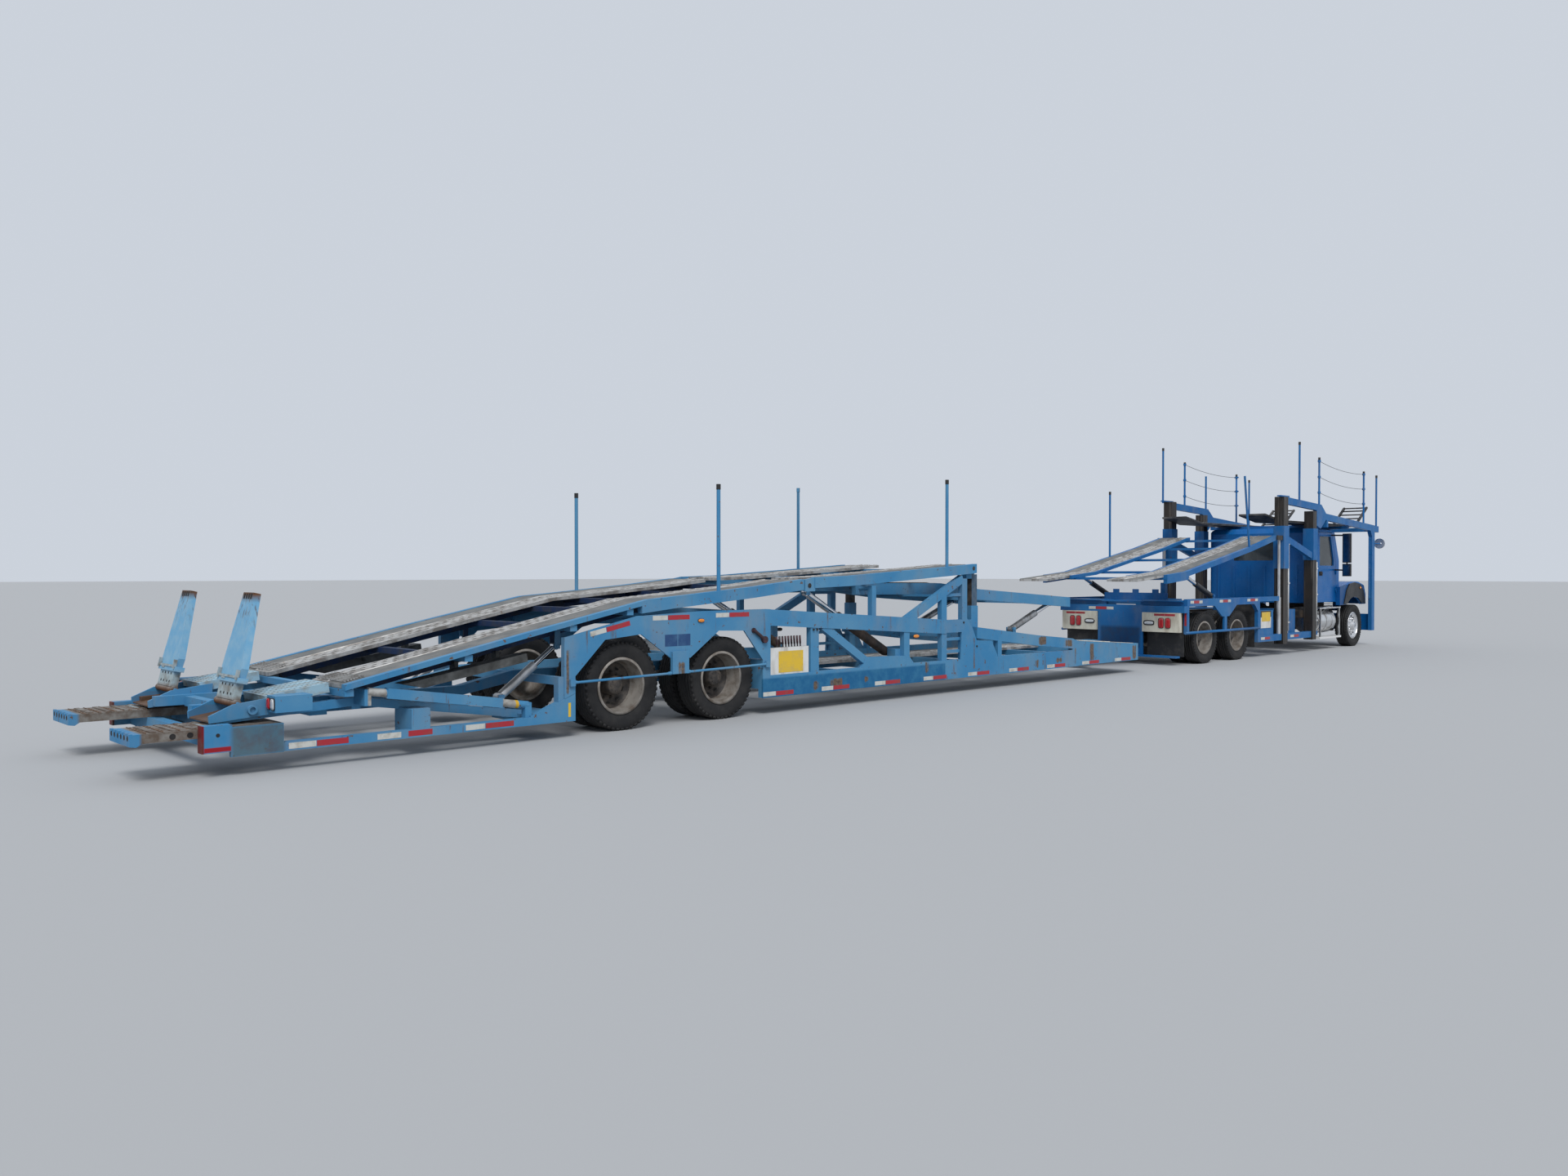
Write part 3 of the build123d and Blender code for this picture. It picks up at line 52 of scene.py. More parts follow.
SENSOR_MM, FOCAL_PX, WIDTH_PX = 36, 1442, 1920
camera.data.lens = SENSOR_MM * FOCAL_PX / WIDTH_PX
camera.data.clip_end = 500
bpy.context.scene.camera = camera

yard_mesh = bpy.data.meshes.new("yard_floor")
YARD = 220
yard_mesh.from_pydata([(-YARD, -YARD, 0), (YARD, -YARD, 0), (YARD, YARD, 0), (-YARD, YARD, 0)], [], [(0, 1, 2, 3)])
yard = bpy.data.objects.new("yard_floor", yard_mesh)
bpy.context.collection.objects.link(yard)
yard_paint = bpy.data.materials.new("pale_yard")
yard_paint.use_nodes = True
yard_paint.node_tree.nodes["Principled BSDF"].inputs["Base Color"].default_value = (0.40, 0.405, 0.41, 1)
yard_paint.node_tree.nodes["Principled BSDF"].inputs["Roughness"].default_value = 0.9
yard_mesh.materials.append(yard_paint)

sky = bpy.data.worlds.new("pale_sky")
bpy.context.scene.world = sky
sky.use_nodes = True
sky.node_tree.nodes["Background"].inputs["Color"].default_value = (0.80, 0.86, 0.95, 1)
sky.node_tree.nodes["Background"].inputs["Strength"].default_value = 0.75
lamp = bpy.data.objects.new("soft_lamp", bpy.data.lights.new("soft_lamp", "SUN"))
bpy.context.collection.objects.link(lamp)
lamp.data.energy = 2.0
lamp.data.angle = math.radians(25)
lamp.rotation_euler = Vector((0.45, 0.62, -0.95)).to_track_quat("-Z", "Y").to_euler()
bpy.context.scene.view_settings.view_transform = "Standard"

# Tyres: moulded black rubber with a ribbed tread, a blocky shoulder and a plain wall,
# greyed by road dust and painted darker than the rubber for painted shade. One goes on each steer wheel and two on
# each twin wheel.
TYRE_RADIUS, TYRE_SIDES, RIM_SIDES, SHOULDER_BLOCKS = 0.464, 96, 72, 48


def finish_nodes(name, base, roughness, metallic=0.0):
    """A new material with its shader's sockets set, and the tree to add detail to."""
    skin = bpy.data.materials.new(name)
    skin.use_nodes = True
    shader = skin.node_tree.nodes["Principled BSDF"]
    shader.inputs["Base Color"].default_value = (*base, 1)
    shader.inputs["Roughness"].default_value = roughness
    shader.inputs["Metallic"].default_value = metallic
    return skin, skin.node_tree, shader


def grain(tree, scale, detail=4.0, stretch=(1, 1, 1)):
    """Noise over the object's own coordinates, stretched along its axes."""
    place = tree.nodes.new("ShaderNodeTexCoord")
    stretcher = tree.nodes.new("ShaderNodeMapping")
    stretcher.inputs["Scale"].default_value = stretch
    noise = tree.nodes.new("ShaderNodeTexNoise")
    noise.inputs["Scale"].default_value = scale
    noise.inputs["Detail"].default_value = detail
    noise.inputs["Roughness"].default_value = 0.6
    tree.links.new(place.outputs["Object"], stretcher.inputs["Vector"])
    tree.links.new(stretcher.outputs["Vector"], noise.inputs["Vector"])
    return noise.outputs["Fac"]


def steps(tree, value, stops):
    """Colour ramp from (position, grey or colour) stops."""
    ramp = tree.nodes.new("ShaderNodeValToRGB")
    while len(ramp.color_ramp.elements) < len(stops):
        ramp.color_ramp.elements.new(0.5)
    for element, (at, tint) in zip(ramp.color_ramp.elements, stops):
        element.position = at
        element.color = (tint, tint, tint, 1) if isinstance(tint, (int, float)) else (*tint, 1)
    tree.links.new(value, ramp.inputs["Fac"])
    return ramp.outputs["Color"]


def layer(tree, under, over, mask):
    """Colour over another where the mask is white."""
    mix = tree.nodes.new("ShaderNodeMix")
    mix.data_type = "RGBA"
    for socket, value in ((mix.inputs[0], mask), (mix.inputs[6], under), (mix.inputs[7], over)):
        if isinstance(value, (tuple, float, int)):
            socket.default_value = (*value, 1) if isinstance(value, tuple) else value
        else:
            tree.links.new(value, socket)
    return mix.outputs[2]


def dent(tree, shader, height, strength, distance):
    """Fine relief from a grey value."""
    bump = tree.nodes.new("ShaderNodeBump")
    bump.inputs["Strength"].default_value = strength
    bump.inputs["Distance"].default_value = distance
    tree.links.new(height, bump.inputs["Height"])
    tree.links.new(bump.outputs["Normal"], shader.inputs["Normal"])


def worn_finish(name, base, roughness, metallic, spread, stops, tints=None, relief=None):
    """A finish whose colour wanders with noise: spread is the noise's scale, detail and stretch, stops are
    its colours, or the share of the second tint over the first. Relief is noise, strength and depth."""
    skin, tree, shader = finish_nodes(name, base, roughness, metallic)
    stain = steps(tree, grain(tree, *spread), stops)
    if tints:
        stain = layer(tree, *tints, stain)
    tree.links.new(stain, shader.inputs["Base Color"])
    if relief:
        dent(tree, shader, grain(tree, *relief[0]), *relief[1:])
    return skin


# painted shade: the tyre's black is darker than the rubber itself, with grey road dust blotches
shaded_tyre_rubber = worn_finish("dusty_tyre_rubber_painted_shade", (0.022, 0.022, 0.023), 0.82, 0.0, (6, 5), [(0.42, 0.0), (0.78, 0.40)],
                          ((0.008, 0.008, 0.009), (0.055, 0.050, 0.045)), ((220, 2), 0.25, 0.001))


def lay_face(bm, points, finish=0, smooth=False):
    """One face with its finish."""
    face = bm.faces.new(points)
    face.material_index, face.smooth = finish, smooth


def stitch(bm, a, b, finish=0, smooth=False, closed=True):
    """Faces between two rows of points, round to the first ones again if closed."""
    count = len(a)
    for i in range(count if closed else count - 1):
        j = (i + 1) % count
        lay_face(bm, (a[i], a[j], b[j], b[i]), finish, smooth)


def lathe(bm, profile, centre, steps_round, side=1, finish=0):
    """Smooth rings of a (across, radius) profile turned about an axle line through centre."""
    rings = []
    for across, radius in profile:
        ring = []
        for i in range(steps_round):
            turn = 2 * math.pi * i / steps_round
            ring.append(bm.verts.new((centre[0] + radius * math.cos(turn), centre[1] + side * across,
                                      centre[2] + radius * math.sin(turn))))
        rings.append(ring)
    for a, b in zip(rings, rings[1:]):
        stitch(bm, a, b, finish, True)


def lay_block(bm, x, y, z, turn=None, finish=0, smooth=False):
    """A block between pairs of limits, turned by a matrix if one is given."""
    corners = [Vector((i, j, k)) for i in x for j in y for k in z]
    if turn is not None:
        corners = [turn @ c for c in corners]
    v = [bm.verts.new(c) for c in corners]
    for face in ((0, 1, 3, 2), (4, 6, 7, 5), (0, 4, 5, 1), (2, 3, 7, 6), (0, 2, 6, 4), (1, 5, 7, 3)):
        lay_face(bm, [v[i] for i in face], finish, smooth)


def pair(side, a, b):
    """The limits a and b on the right (-1) or left (1) side, low one first."""
    return sorted((side * a, side * b))


def fit(bm, name, skin, body, bevel=0.0, stands_for=()):
    """Turn the loose mesh into a fitted piece: finish, rounded edges, and the body it moves with."""
    bmesh.ops.recalc_face_normals(bm, faces=bm.faces)
    mesh = bpy.data.meshes.new(name)
    bm.to_mesh(mesh)
    bm.free()
    for s in (skin if isinstance(skin, (list, tuple)) else [skin]):
        mesh.materials.append(s)
    piece = bpy.data.objects.new(name, mesh)
    bpy.context.collection.objects.link(piece)
    if bevel:
        edge = piece.modifiers.new("rounded_edges", "BEVEL")
        edge.width = bevel
        edge.segments = 2
        edge.limit_method = "ANGLE"
    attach(piece, body)
    if stands_for:
        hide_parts(*stands_for)
    return piece


def mould_tyre(bm, x, y):
    """One tyre with five ribs round the tread and shoulder blocks."""
    r = TYRE_RADIUS
    profile = [(-0.093, 0.289), (-0.098, 0.308), (-0.116, 0.345), (-0.1265, 0.390), (-0.122, 0.428), (-0.109, 0.453)]
    for a, b in ((-0.103, -0.066), (-0.056, -0.022), (-0.012, 0.012), (0.022, 0.056), (0.066, 0.103)):
        profile += [(a, r - 0.012), (a, r - 0.001), (b, r - 0.001), (b, r - 0.012)]
    profile += [(-p, q) for p, q in reversed(profile[:6])]
    lathe(bm, profile, (x, y, TYRE_RADIUS), TYRE_SIDES)
    for k in range(SHOULDER_BLOCKS):
        turn = Matrix.Translation((x, y, TYRE_RADIUS)) @ Matrix.Rotation(2 * math.pi * k / SHOULDER_BLOCKS, 4, "Y")
        for s in (-1, 1):
            lay_block(bm, (-0.017, 0.017), pair(s, 0.100, 0.121), (0.436, 0.4605), turn, 0, True)


# Twin wheels: two pressed steel rims bolted back to back on one hub, painted pale grey, with
# hand holes in the dish and a ring of nuts round the hub. The grey is dimmed by painted shade, with
# brown dust blotches, and the deep dish with its nuts is painted darker still for shade.
# painted shade: the rim's pale grey is dimmed to a grey-brown, with brown dust blotches
shaded_rim_steel = worn_finish("dusty_rim_steel_painted_shade", (0.34, 0.33, 0.32), 0.55, 0.2, (9, 6), [(0.42, 0.0), (0.68, 0.8)],
                        ((0.30, 0.275, 0.245), (0.11, 0.080, 0.058)), ((60, 4), 0.2, 0.001))
# painted shade: the deep dish, its nuts and hub bolts are coloured near black-brown
dish_shade_brown = worn_finish("deep_dish_painted_shade", (0.055, 0.047, 0.042), 0.6, 0.1, (14, 6),
                         [(0.40, (0.035, 0.031, 0.029)), (0.75, (0.13, 0.105, 0.085))], relief=((60, 4), 0.2, 0.001))
hole_black = worn_finish("shadowed_black", (0.012, 0.012, 0.013), 0.9, 0.0, (12, 4), [(0.4, 0.0), (0.8, 0.5)],
                         ((0.012, 0.012, 0.013), (0.05, 0.045, 0.04)))


def lay_disc(bm, centre, across, radius, depth, sides=12, finish=0, smooth=False):
    """A short round stud along the vector across, from its centre outward."""
    axis = Vector(across).normalized()
    u = axis.orthogonal().normalized()
    v = axis.cross(u)
    low, high = [], []
    for i in range(sides):
        t = 2 * math.pi * i / sides
        arm = u * (radius * math.cos(t)) + v * (radius * math.sin(t))
        low.append(bm.verts.new(Vector(centre) + arm))
        high.append(bm.verts.new(Vector(centre) + arm + axis * depth))
    stitch(bm, low, high, finish, smooth)
    lay_face(bm, high, finish, smooth)
    lay_face(bm, low[::-1], finish, smooth)


HAND_HOLES_R = 0.205


def ring_of_discs(bm, x, y, side, count, circle, radius, depth, sides, finish, smooth=False, shift=0.0):
    """Like discs evenly round an axle line: a wheel's hand holes, nuts or hub bolts."""
    for k in range(count):
        turn = 2 * math.pi * (k + shift) / count
        at = (x + circle * math.cos(turn), y, TYRE_RADIUS + circle * math.sin(turn))
        lay_disc(bm, at, (0, side, 0), radius, depth, sides, finish, smooth)


def press_twin_rims(bm, x, y, side):
    """Both rims, the outer dish with ten hand holes, the hub and ten nuts."""
    e, n = 0.2725, 0.0625    # half the width over both rims, half the gap between them
    outer = [(e, 0.274), (e, 0.299), (e - 0.008, 0.300), (e - 0.009, 0.287), (n + 0.012, 0.287), (n + 0.009, 0.299),
             (n, 0.299), (n, 0.287), (-n, 0.287), (-n, 0.299), (-n - 0.009, 0.299), (-e + 0.009, 0.287),
             (-e + 0.008, 0.300), (-e, 0.299), (-e, 0.274)]
    dish = [(e, 0.274), (0.225, 0.268), (0.11, 0.262), (0.075, 0.250), (0.040, 0.222), (0.022, 0.190), (0.016, 0.160),
            (0.018, 0.118), (0.040, 0.110), (0.155, 0.098), (0.170, 0.085), (0.176, 0.045), (0.177, 0.002)]
    back = [(-e, 0.274), (-0.10, 0.262), (-0.05, 0.22), (-0.03, 0.12), (-0.12, 0.10), (-0.149, 0.09), (-0.149, 0.05)]
    for profile, finish in ((outer, 1), (dish[:4], 1), (back, 1), (dish[3:], 3)):
        lathe(bm, profile, (x, y, TYRE_RADIUS), RIM_SIDES, side, finish)
    ring_of_discs(bm, x, y + side * 0.0265, side, 10, HAND_HOLES_R, 0.027, 0.004, 16, 2, shift=0.5)
    ring_of_discs(bm, x, y + side * 0.014, side, 10, 0.142, 0.016, 0.022, 6, 3)
    ring_of_discs(bm, x, y + side * 0.014, side, 10, 0.142, 0.008, 0.036, 8, 3)
    ring_of_discs(bm, x, y + side * 0.172, side, 8, 0.062, 0.008, 0.009, 6, 3)


TWIN_Y, TWIN_HALF_GAP = 0.925, 0.1675
for node in sorted(nodes):
    if node.startswith(("trailer_wheel", "drive_wheel")):
        low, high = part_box(node)
        side = 1 if node.endswith("l") else -1
        x = (low[0] + high[0]) / 2
        wheel = bmesh.new()
        for step in (-1, 1):
            mould_tyre(wheel, x, side * TWIN_Y + step * TWIN_HALF_GAP)
        press_twin_rims(wheel, x, side * TWIN_Y, side)
        fit(wheel, "shod_" + node, [shaded_tyre_rubber, shaded_rim_steel, hole_black, dish_shade_brown], node, stands_for=(node,))

# Steer wheels: forged aluminium discs, turned bright, with ten round hand holes and chromed
# nut covers round a domed hub. They turn on the spindles of the knuckles.
STEER_Y = 1.035
bright_wheel = worn_finish("turned_aluminium", (0.80, 0.80, 0.81), 0.22, 1.0, (14, 5), [(0.45, 0.0), (0.75, 0.45)],
                           ((0.80, 0.80, 0.81), (0.42, 0.38, 0.33)), ((300, 1, (0.02, 1, 0.02)), 0.08, 0.0005))
for side, letter in ((-1, "r"), (1, "l")):
    low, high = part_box("steer_tyre_" + letter)
    x = (low[0] + high[0]) / 2
    rubber = bmesh.new()
    mould_tyre(rubber, x, side * STEER_Y)
    fit(rubber, "steer_tyre_moulded_" + letter, shaded_tyre_rubber, "steer_wheel_" + letter,
        stands_for=("steer_tyre_" + letter,))
    disc = bmesh.new()
    e = 0.105    # half the rim's width
    rim = [(e, 0.274), (e, 0.299), (e - 0.008, 0.300), (e - 0.009, 0.287), (-e + 0.009, 0.287), (-e + 0.008, 0.300),
           (-e, 0.299), (-e, 0.274), (-0.02, 0.270), (0.022, 0.262), (0.035, 0.225), (0.035, 0.12), (-0.058, 0.105),
           (-0.059, 0.045)]
    face = [(e, 0.274), (0.085, 0.266), (0.074, 0.247), (0.064, 0.212), (0.061, 0.155), (0.078, 0.120),
            (0.080, 0.094), (0.124, 0.086), (0.134, 0.060), (0.136, 0.002)]
    for profile in (rim, face):
        lathe(disc, profile, (x, side * STEER_Y, TYRE_RADIUS), RIM_SIDES, side)
    ring_of_discs(disc, x, side * 1.0985, side, 10, HAND_HOLES_R, 0.026, 0.003, 20, 1, shift=0.5)
    ring_of_discs(disc, x, side * 1.097, side, 10, 0.143, 0.017, 0.030, 12, 0, True)
    fit(disc, "steer_disc_" + letter, [bright_wheel, hole_black], "steer_wheel_" + letter,
        stands_for=("steer_rim_" + letter,))

# Axles, knuckles and the parts under the floor: cast and forged steel in black chassis paint,
# dulled by grease, road salt and brown dust.
black_chassis, tree, shader = finish_nodes("greasy_chassis_black", (0.030, 0.030, 0.032), 0.55, 0.1)
mud = steps(tree, grain(tree, 5, 6), [(0.45, 0.0), (0.70, 0.7)])
brown = steps(tree, grain(tree, 30, 4), [(0.3, (0.075, 0.055, 0.042)), (0.8, (0.16, 0.12, 0.09))])
tree.links.new(layer(tree, (0.030, 0.030, 0.032), brown, mud), shader.inputs["Base Color"])
dent(tree, shader, grain(tree, 45, 5), 0.35, 0.002)


def coat(skin, *names):
    """A finish on CAD pieces."""
    for name in names:
        mesh = nodes[name].data
        if not mesh.materials:
            mesh.materials.append(skin)
        for i in range(len(nodes[name].material_slots)):
            nodes[name].material_slots[i].material = skin


coat(black_chassis, "truck_axles", "trailer_axles", "knuckle_r", "knuckle_l", "engine_block")

# Truck paint: solid mid blue enamel over steel, glossy on the cab and chalkier on the carrier.
# Stone chips and rubbed edges show brown rust with streaks below them.


def blue_enamel(name, blue, chalk, rust_share, gloss, road_film):
    """Blue paint over steel: faded patches, grey road film, rust blooms and runs."""
    skin, tree, shader = finish_nodes(name, blue, gloss)
    shader.inputs["Specular IOR Level"].default_value = 0.22
    faded = steps(tree, grain(tree, 1.3, 6), [(0.35, 0.0), (0.72, 0.75)])
    paint = layer(tree, blue, chalk, faded)
    film = steps(tree, grain(tree, 2.6, 8, (1, 1, 0.45)), [(0.50, 0.0), (0.78, road_film)])
    paint = layer(tree, paint, (0.23, 0.24, 0.25), film)
    rust_tint = steps(tree, grain(tree, 55, 5), [(0.30, (0.070, 0.034, 0.018)), (0.75, (0.20, 0.115, 0.060))])
    runs = steps(tree, grain(tree, 5, 8, (3.0, 3.0, 0.30)), [(rust_share, 0.0), (rust_share + 0.10, 0.85)])
    paint = layer(tree, paint, rust_tint, runs)
    blooms = steps(tree, grain(tree, 16, 8), [(rust_share + 0.02, 0.0), (rust_share + 0.05, 0.95)])
    paint = layer(tree, paint, rust_tint, blooms)
    tree.links.new(paint, shader.inputs["Base Color"])
    dulled = steps(tree, grain(tree, 4, 6), [(0.3, gloss), (0.8, min(1.0, gloss + 0.35))])
    tree.links.new(dulled, shader.inputs["Roughness"])
    dent(tree, shader, grain(tree, 24, 6), 0.18, 0.002)
    return skin


truck_enamel = blue_enamel("truck_blue_enamel", (0.006, 0.110, 0.330), (0.030, 0.165, 0.36), 0.66, 0.30, 0.40)
cab_enamel = blue_enamel("cab_blue_enamel", (0.002, 0.100, 0.335), (0.006, 0.125, 0.36), 0.76, 0.16, 0.12)
trailer_enamel = blue_enamel("trailer_sky_blue_enamel", (0.042, 0.205, 0.400), (0.125, 0.290, 0.430), 0.63, 0.42,
                             0.50)
coat(cab_enamel, "cab_shell")
coat(truck_enamel, "carrier_sides", "side_boxes", "truck_deck")
coat(trailer_enamel, "trailer_frame", "trailer_sides", "front_deck", "neck_deck")

# Wheel tracks: folded steel sheet with rows of round holes whose rims are pressed up for grip,
# an anti-slip strip outside them and a rolled lip between. Galvanised, now dull and trodden,
# and welded on the cross bars of each deck.
TRAILER_X, TRUCK_X = -8.2925, 2.7325
trodden_zinc, tree, shader = finish_nodes("trodden_zinc", (0.46, 0.47, 0.47), 0.52, 0.55)
scuffs = steps(tree, grain(tree, 5.0, 9, (1, 2.5, 1)), [(0.44, 0.0), (0.60, 0.85)])
worn = layer(tree, (0.52, 0.51, 0.49), (0.21, 0.19, 0.17), scuffs)
spots = steps(tree, grain(tree, 20, 8), [(0.62, 0.0), (0.72, 0.85)])
tree.links.new(layer(tree, worn, (0.23, 0.11, 0.05), spots), shader.inputs["Base Color"])
dent(tree, shader, grain(tree, 38, 5), 0.25, 0.002)
grip_strip = worn_finish("gritty_grip_strip", (0.20, 0.21, 0.22), 0.92, 0.0, (4, 8), [(0.40, 0.0), (0.70, 0.8)],
                         ((0.125, 0.130, 0.130), (0.25, 0.24, 0.22)), ((420, 2), 0.7, 0.002))
coat(trodden_zinc, "tail_deck_tracks", "front_deck_tracks", "neck_deck_tracks", "truck_deck_tracks", "lower_tracks")
head_skin = trodden_zinc.copy()
head_skin.name = "head_track_steel"
tree = head_skin.node_tree
soot = steps(tree, grain(tree, 4, 7), [(0.42, (0.030, 0.032, 0.036)), (0.74, (0.16, 0.15, 0.14))])
tree.links.new(soot, tree.nodes["Principled BSDF"].inputs["Base Color"])
coat(head_skin, "head_tracks")


def walk(path, pitch, start=0.0):
    """Points every pitch along a side view path, each with the path's direction."""
    left = start + pitch / 2
    for (xa, za), (xb, zb) in zip(path, path[1:]):
        run = math.dist((xa, za), (xb, zb))
        while left <= run:
            yield xa + (xb - xa) * left / run, za + (zb - za) * left / run, (xb - xa) / run, (zb - za) / run
            left += pitch
        left -= run


def press(bm, x, y, z, along, half, rims, floor):
    """One punched hole on a sheet that runs along (dx, dz): rings of (share of its half sizes, height), and its
    floor's finish."""
    dx, dz = along
    rings = []
    for share, rise in rims:
        ring = []
        for i in range(12):
            a = half[0] * share * math.cos(math.pi * i / 6)
            b = half[1] * share * math.sin(math.pi * i / 6)
            ring.append(bm.verts.new((x + a * dx - rise * dz, y + b, z + a * dz + rise * dx)))
        rings.append(ring)
    for low, high in zip(rings, rings[1:]):
        stitch(bm, low, high, 0, True)
    lay_face(bm, rings[-1], floor)


def lay_along(bm, path, section, finish, smooth=False):
    """An open section of (y, height) points carried along a track, with both ends closed."""
    rows = [[bm.verts.new((x, y, z + h)) for y, h in section] for x, z in path]
    for a, b in zip(rows, rows[1:]):
        stitch(bm, a, b, finish, smooth, closed=False)
    for end in (rows[0], rows[-1]):
        lay_face(bm, end, finish, smooth)


HOLE_PITCH, HOLE_RADIUS, LIP_R = 0.105, 0.036, 0.012
HOLE_RIMS = ((1.0, 0.0), (0.84, 0.006), (0.66, 0.002))
# name, body, track top (x, z), grip strip's limits, lip, rows of holes
TRACKS = (
    ("tail_track_face", "tail_deck", TRAILER_X, ((-2.955, 0.678), (-1.228, 1.045), (0.282, 1.354), (0.618, 1.380),
     (1.804, 1.477), (2.595, 1.5575)), (0.865, 1.200), 0.850, (0.585, 0.680, 0.775)),
    ("front_track_face", "front_deck", TRAILER_X, ((2.795, 1.580), (3.410, 1.598), (5.340, 1.714), (5.995, 1.7567)),
     (0.865, 1.095), 0.850, (0.585, 0.680, 0.775)),
    ("neck_track_face", "neck_deck", TRAILER_X, ((3.785, 1.510), (5.514, 1.496), (6.386, 1.405), (8.755, 1.2533)),
     (0.800, 0.964), 0.785, (0.535, 0.625, 0.715)),
    ("truck_track_face", "truck_deck", TRUCK_X, ((-0.415, 1.5284), (1.140, 1.658), (3.716, 2.140), (4.775, 2.3669)),
     (0.930, 1.174), 0.915, (0.650, 0.745, 0.840)),
    ("lower_track_face", "trailer", TRAILER_X, ((2.065, 0.372), (10.275, 0.372)), (0.900, 1.146), 0.885,
     (0.620, 0.715, 0.810)),
    ("head_track_face", "truck", TRUCK_X, ((5.405, 2.700), (9.325, 2.700)), (0.880, 1.090), 0.865,
     (0.620, 0.705, 0.790)),
)
for name, body, at, top, strip, lip, rows in TRACKS:
    path = [(x + at, z) for x, z in top]
    face = bmesh.new()
    for s in (-1, 1):
        for number, y in enumerate(rows):
            for x, z, dx, dz in walk(path, HOLE_PITCH, HOLE_PITCH / 2 if number % 2 else 0.0):
                press(face, x, s * y, z, (dx, dz), (HOLE_RADIUS, HOLE_RADIUS), HOLE_RIMS, 1)
        y0, y1 = pair(s, *strip)
        lay_along(face, path, ((y0, 0.0), (y0, 0.004), (y1, 0.004), (y1, 0.0)), 2)
        lip_arc = [(LIP_R * math.cos(math.pi * i / 8), LIP_R * math.sin(math.pi * i / 8)) for i in range(9)]
        lay_along(face, path, [(s * lip + out, rise) for out, rise in lip_arc], 0, True)
    fit(face, name, [trodden_zinc, hole_black, grip_strip], body)

# Chassis and stinger: folded steel rails under the body in greasy black, and the rear cross beam
# with its corner posts in the truck's blue, all welded into one frame.


def combine(tree, operation, *values):
    """One maths node over one or two values."""
    maths = tree.nodes.new("ShaderNodeMath")
    maths.operation = operation
    for socket, value in zip(maths.inputs, values):
        tree.links.new(value, socket)
    return maths.outputs[0]


def region(tree, x=None, z=None, wide=None, soft=0.004):
    """White inside limits of the object's own x or z, or of its distance from the middle plane."""
    place = tree.nodes.new("ShaderNodeTexCoord")
    parts = tree.nodes.new("ShaderNodeSeparateXYZ")
    tree.links.new(place.outputs["Object"], parts.inputs["Vector"])
    spread = combine(tree, "ABSOLUTE", parts.outputs["Y"])
    mask = None
    for value, limits in ((parts.outputs["X"], x), (parts.outputs["Z"], z), (spread, wide)):
        for limit, sign in zip(limits or (), (1, -1)):
            edge = tree.nodes.new("ShaderNodeMapRange")
            edge.inputs["From Min"].default_value = limit - soft * sign
            edge.inputs["From Max"].default_value = limit + soft * sign
            tree.links.new(value, edge.inputs["Value"])
            inside = edge.outputs["Result"]
            mask = inside if mask is None else combine(tree, "MULTIPLY", mask, inside)
    return mask


def copy_finish(skin, name):
    """A copy of a finish, its tree, its shader, and what feeds its colour."""
    copy = skin.copy()
    copy.name = name
    shader = copy.node_tree.nodes["Principled BSDF"]
    return copy, copy.node_tree, shader, shader.inputs["Base Color"].links[0].from_socket


def repaint(skin, name, *patches, metallic=0.0):
    """A copy of a finish with patches of another colour: each has its colour, the colour of its blotches or
    None, and its limits. The last one can be bare metal."""
    copy, tree, shader, paint = copy_finish(skin, name)
    for colour, blotches, limits in patches:
        over = colour
        if blotches:
            over = layer(tree, colour, blotches, steps(tree, grain(tree, 9, 7), [(0.42, 0.0), (0.64, 0.9)]))
        where = region(tree, **limits)
        paint = layer(tree, paint, over, where)
    tree.links.new(paint, shader.inputs["Base Color"])
    if metallic:
        tree.links.new(steps(tree, where, [(0.0, 0.0), (1.0, metallic)]), shader.inputs["Metallic"])
    return copy


far = 99.0    # past every end of the piece
# black rails, worn step plates, painted shade in the hollow bay between the lamp panels, dark posts
frame_blue = repaint(truck_enamel, "chassis_blue_shaded_bay_dark_post",
                     ((0.028, 0.028, 0.030), (0.10, 0.075, 0.055), dict(x=(TRUCK_X + 1.16, far), z=(-1.0, 1.02))),
                     ((0.34, 0.29, 0.23), (0.09, 0.070, 0.055),
                      dict(x=(TRUCK_X + 1.055, TRUCK_X + 1.49), wide=(0.41, 1.19), z=(1.125, 1.16))),
                     # painted shade: the hollow bay between the lamp panels is coloured dark navy
                     ((0.006, 0.030, 0.080), (0.020, 0.018, 0.017),
                      dict(x=(TRUCK_X + 1.030, TRUCK_X + 1.085), wide=(-1.0, 0.40), z=(0.28, 0.66), soft=0.03)),
                     ((0.030, 0.027, 0.025), (0.16, 0.15, 0.14),
                      dict(x=(TRUCK_X + 1.765, TRUCK_X + 1.865), wide=(0.405, 0.505), z=(1.02, 1.50))))
coat(frame_blue, "truck_frame")
rack_blue = repaint(truck_enamel, "rack_blue_chrome_mirror",
                    ((0.70, 0.70, 0.71), None, dict(x=(TRUCK_X + 10.045, far), wide=(1.20, 1.48), z=(2.17, 2.43))),
                    metallic=1.0)


def loosen(node):
    """A welded piece as loose mesh, joined at its corners."""
    bm = bmesh.new()
    bm.from_mesh(nodes[node].data)
    bmesh.ops.remove_doubles(bm, verts=bm.verts, dist=0.00002)
    return bm


def mark(bm, before, finish, smooth=False):
    """One finish for all faces but the first ones, given as a count."""
    bm.faces.ensure_lookup_table()
    for face in bm.faces[before:]:
        face.material_index, face.smooth = finish, smooth


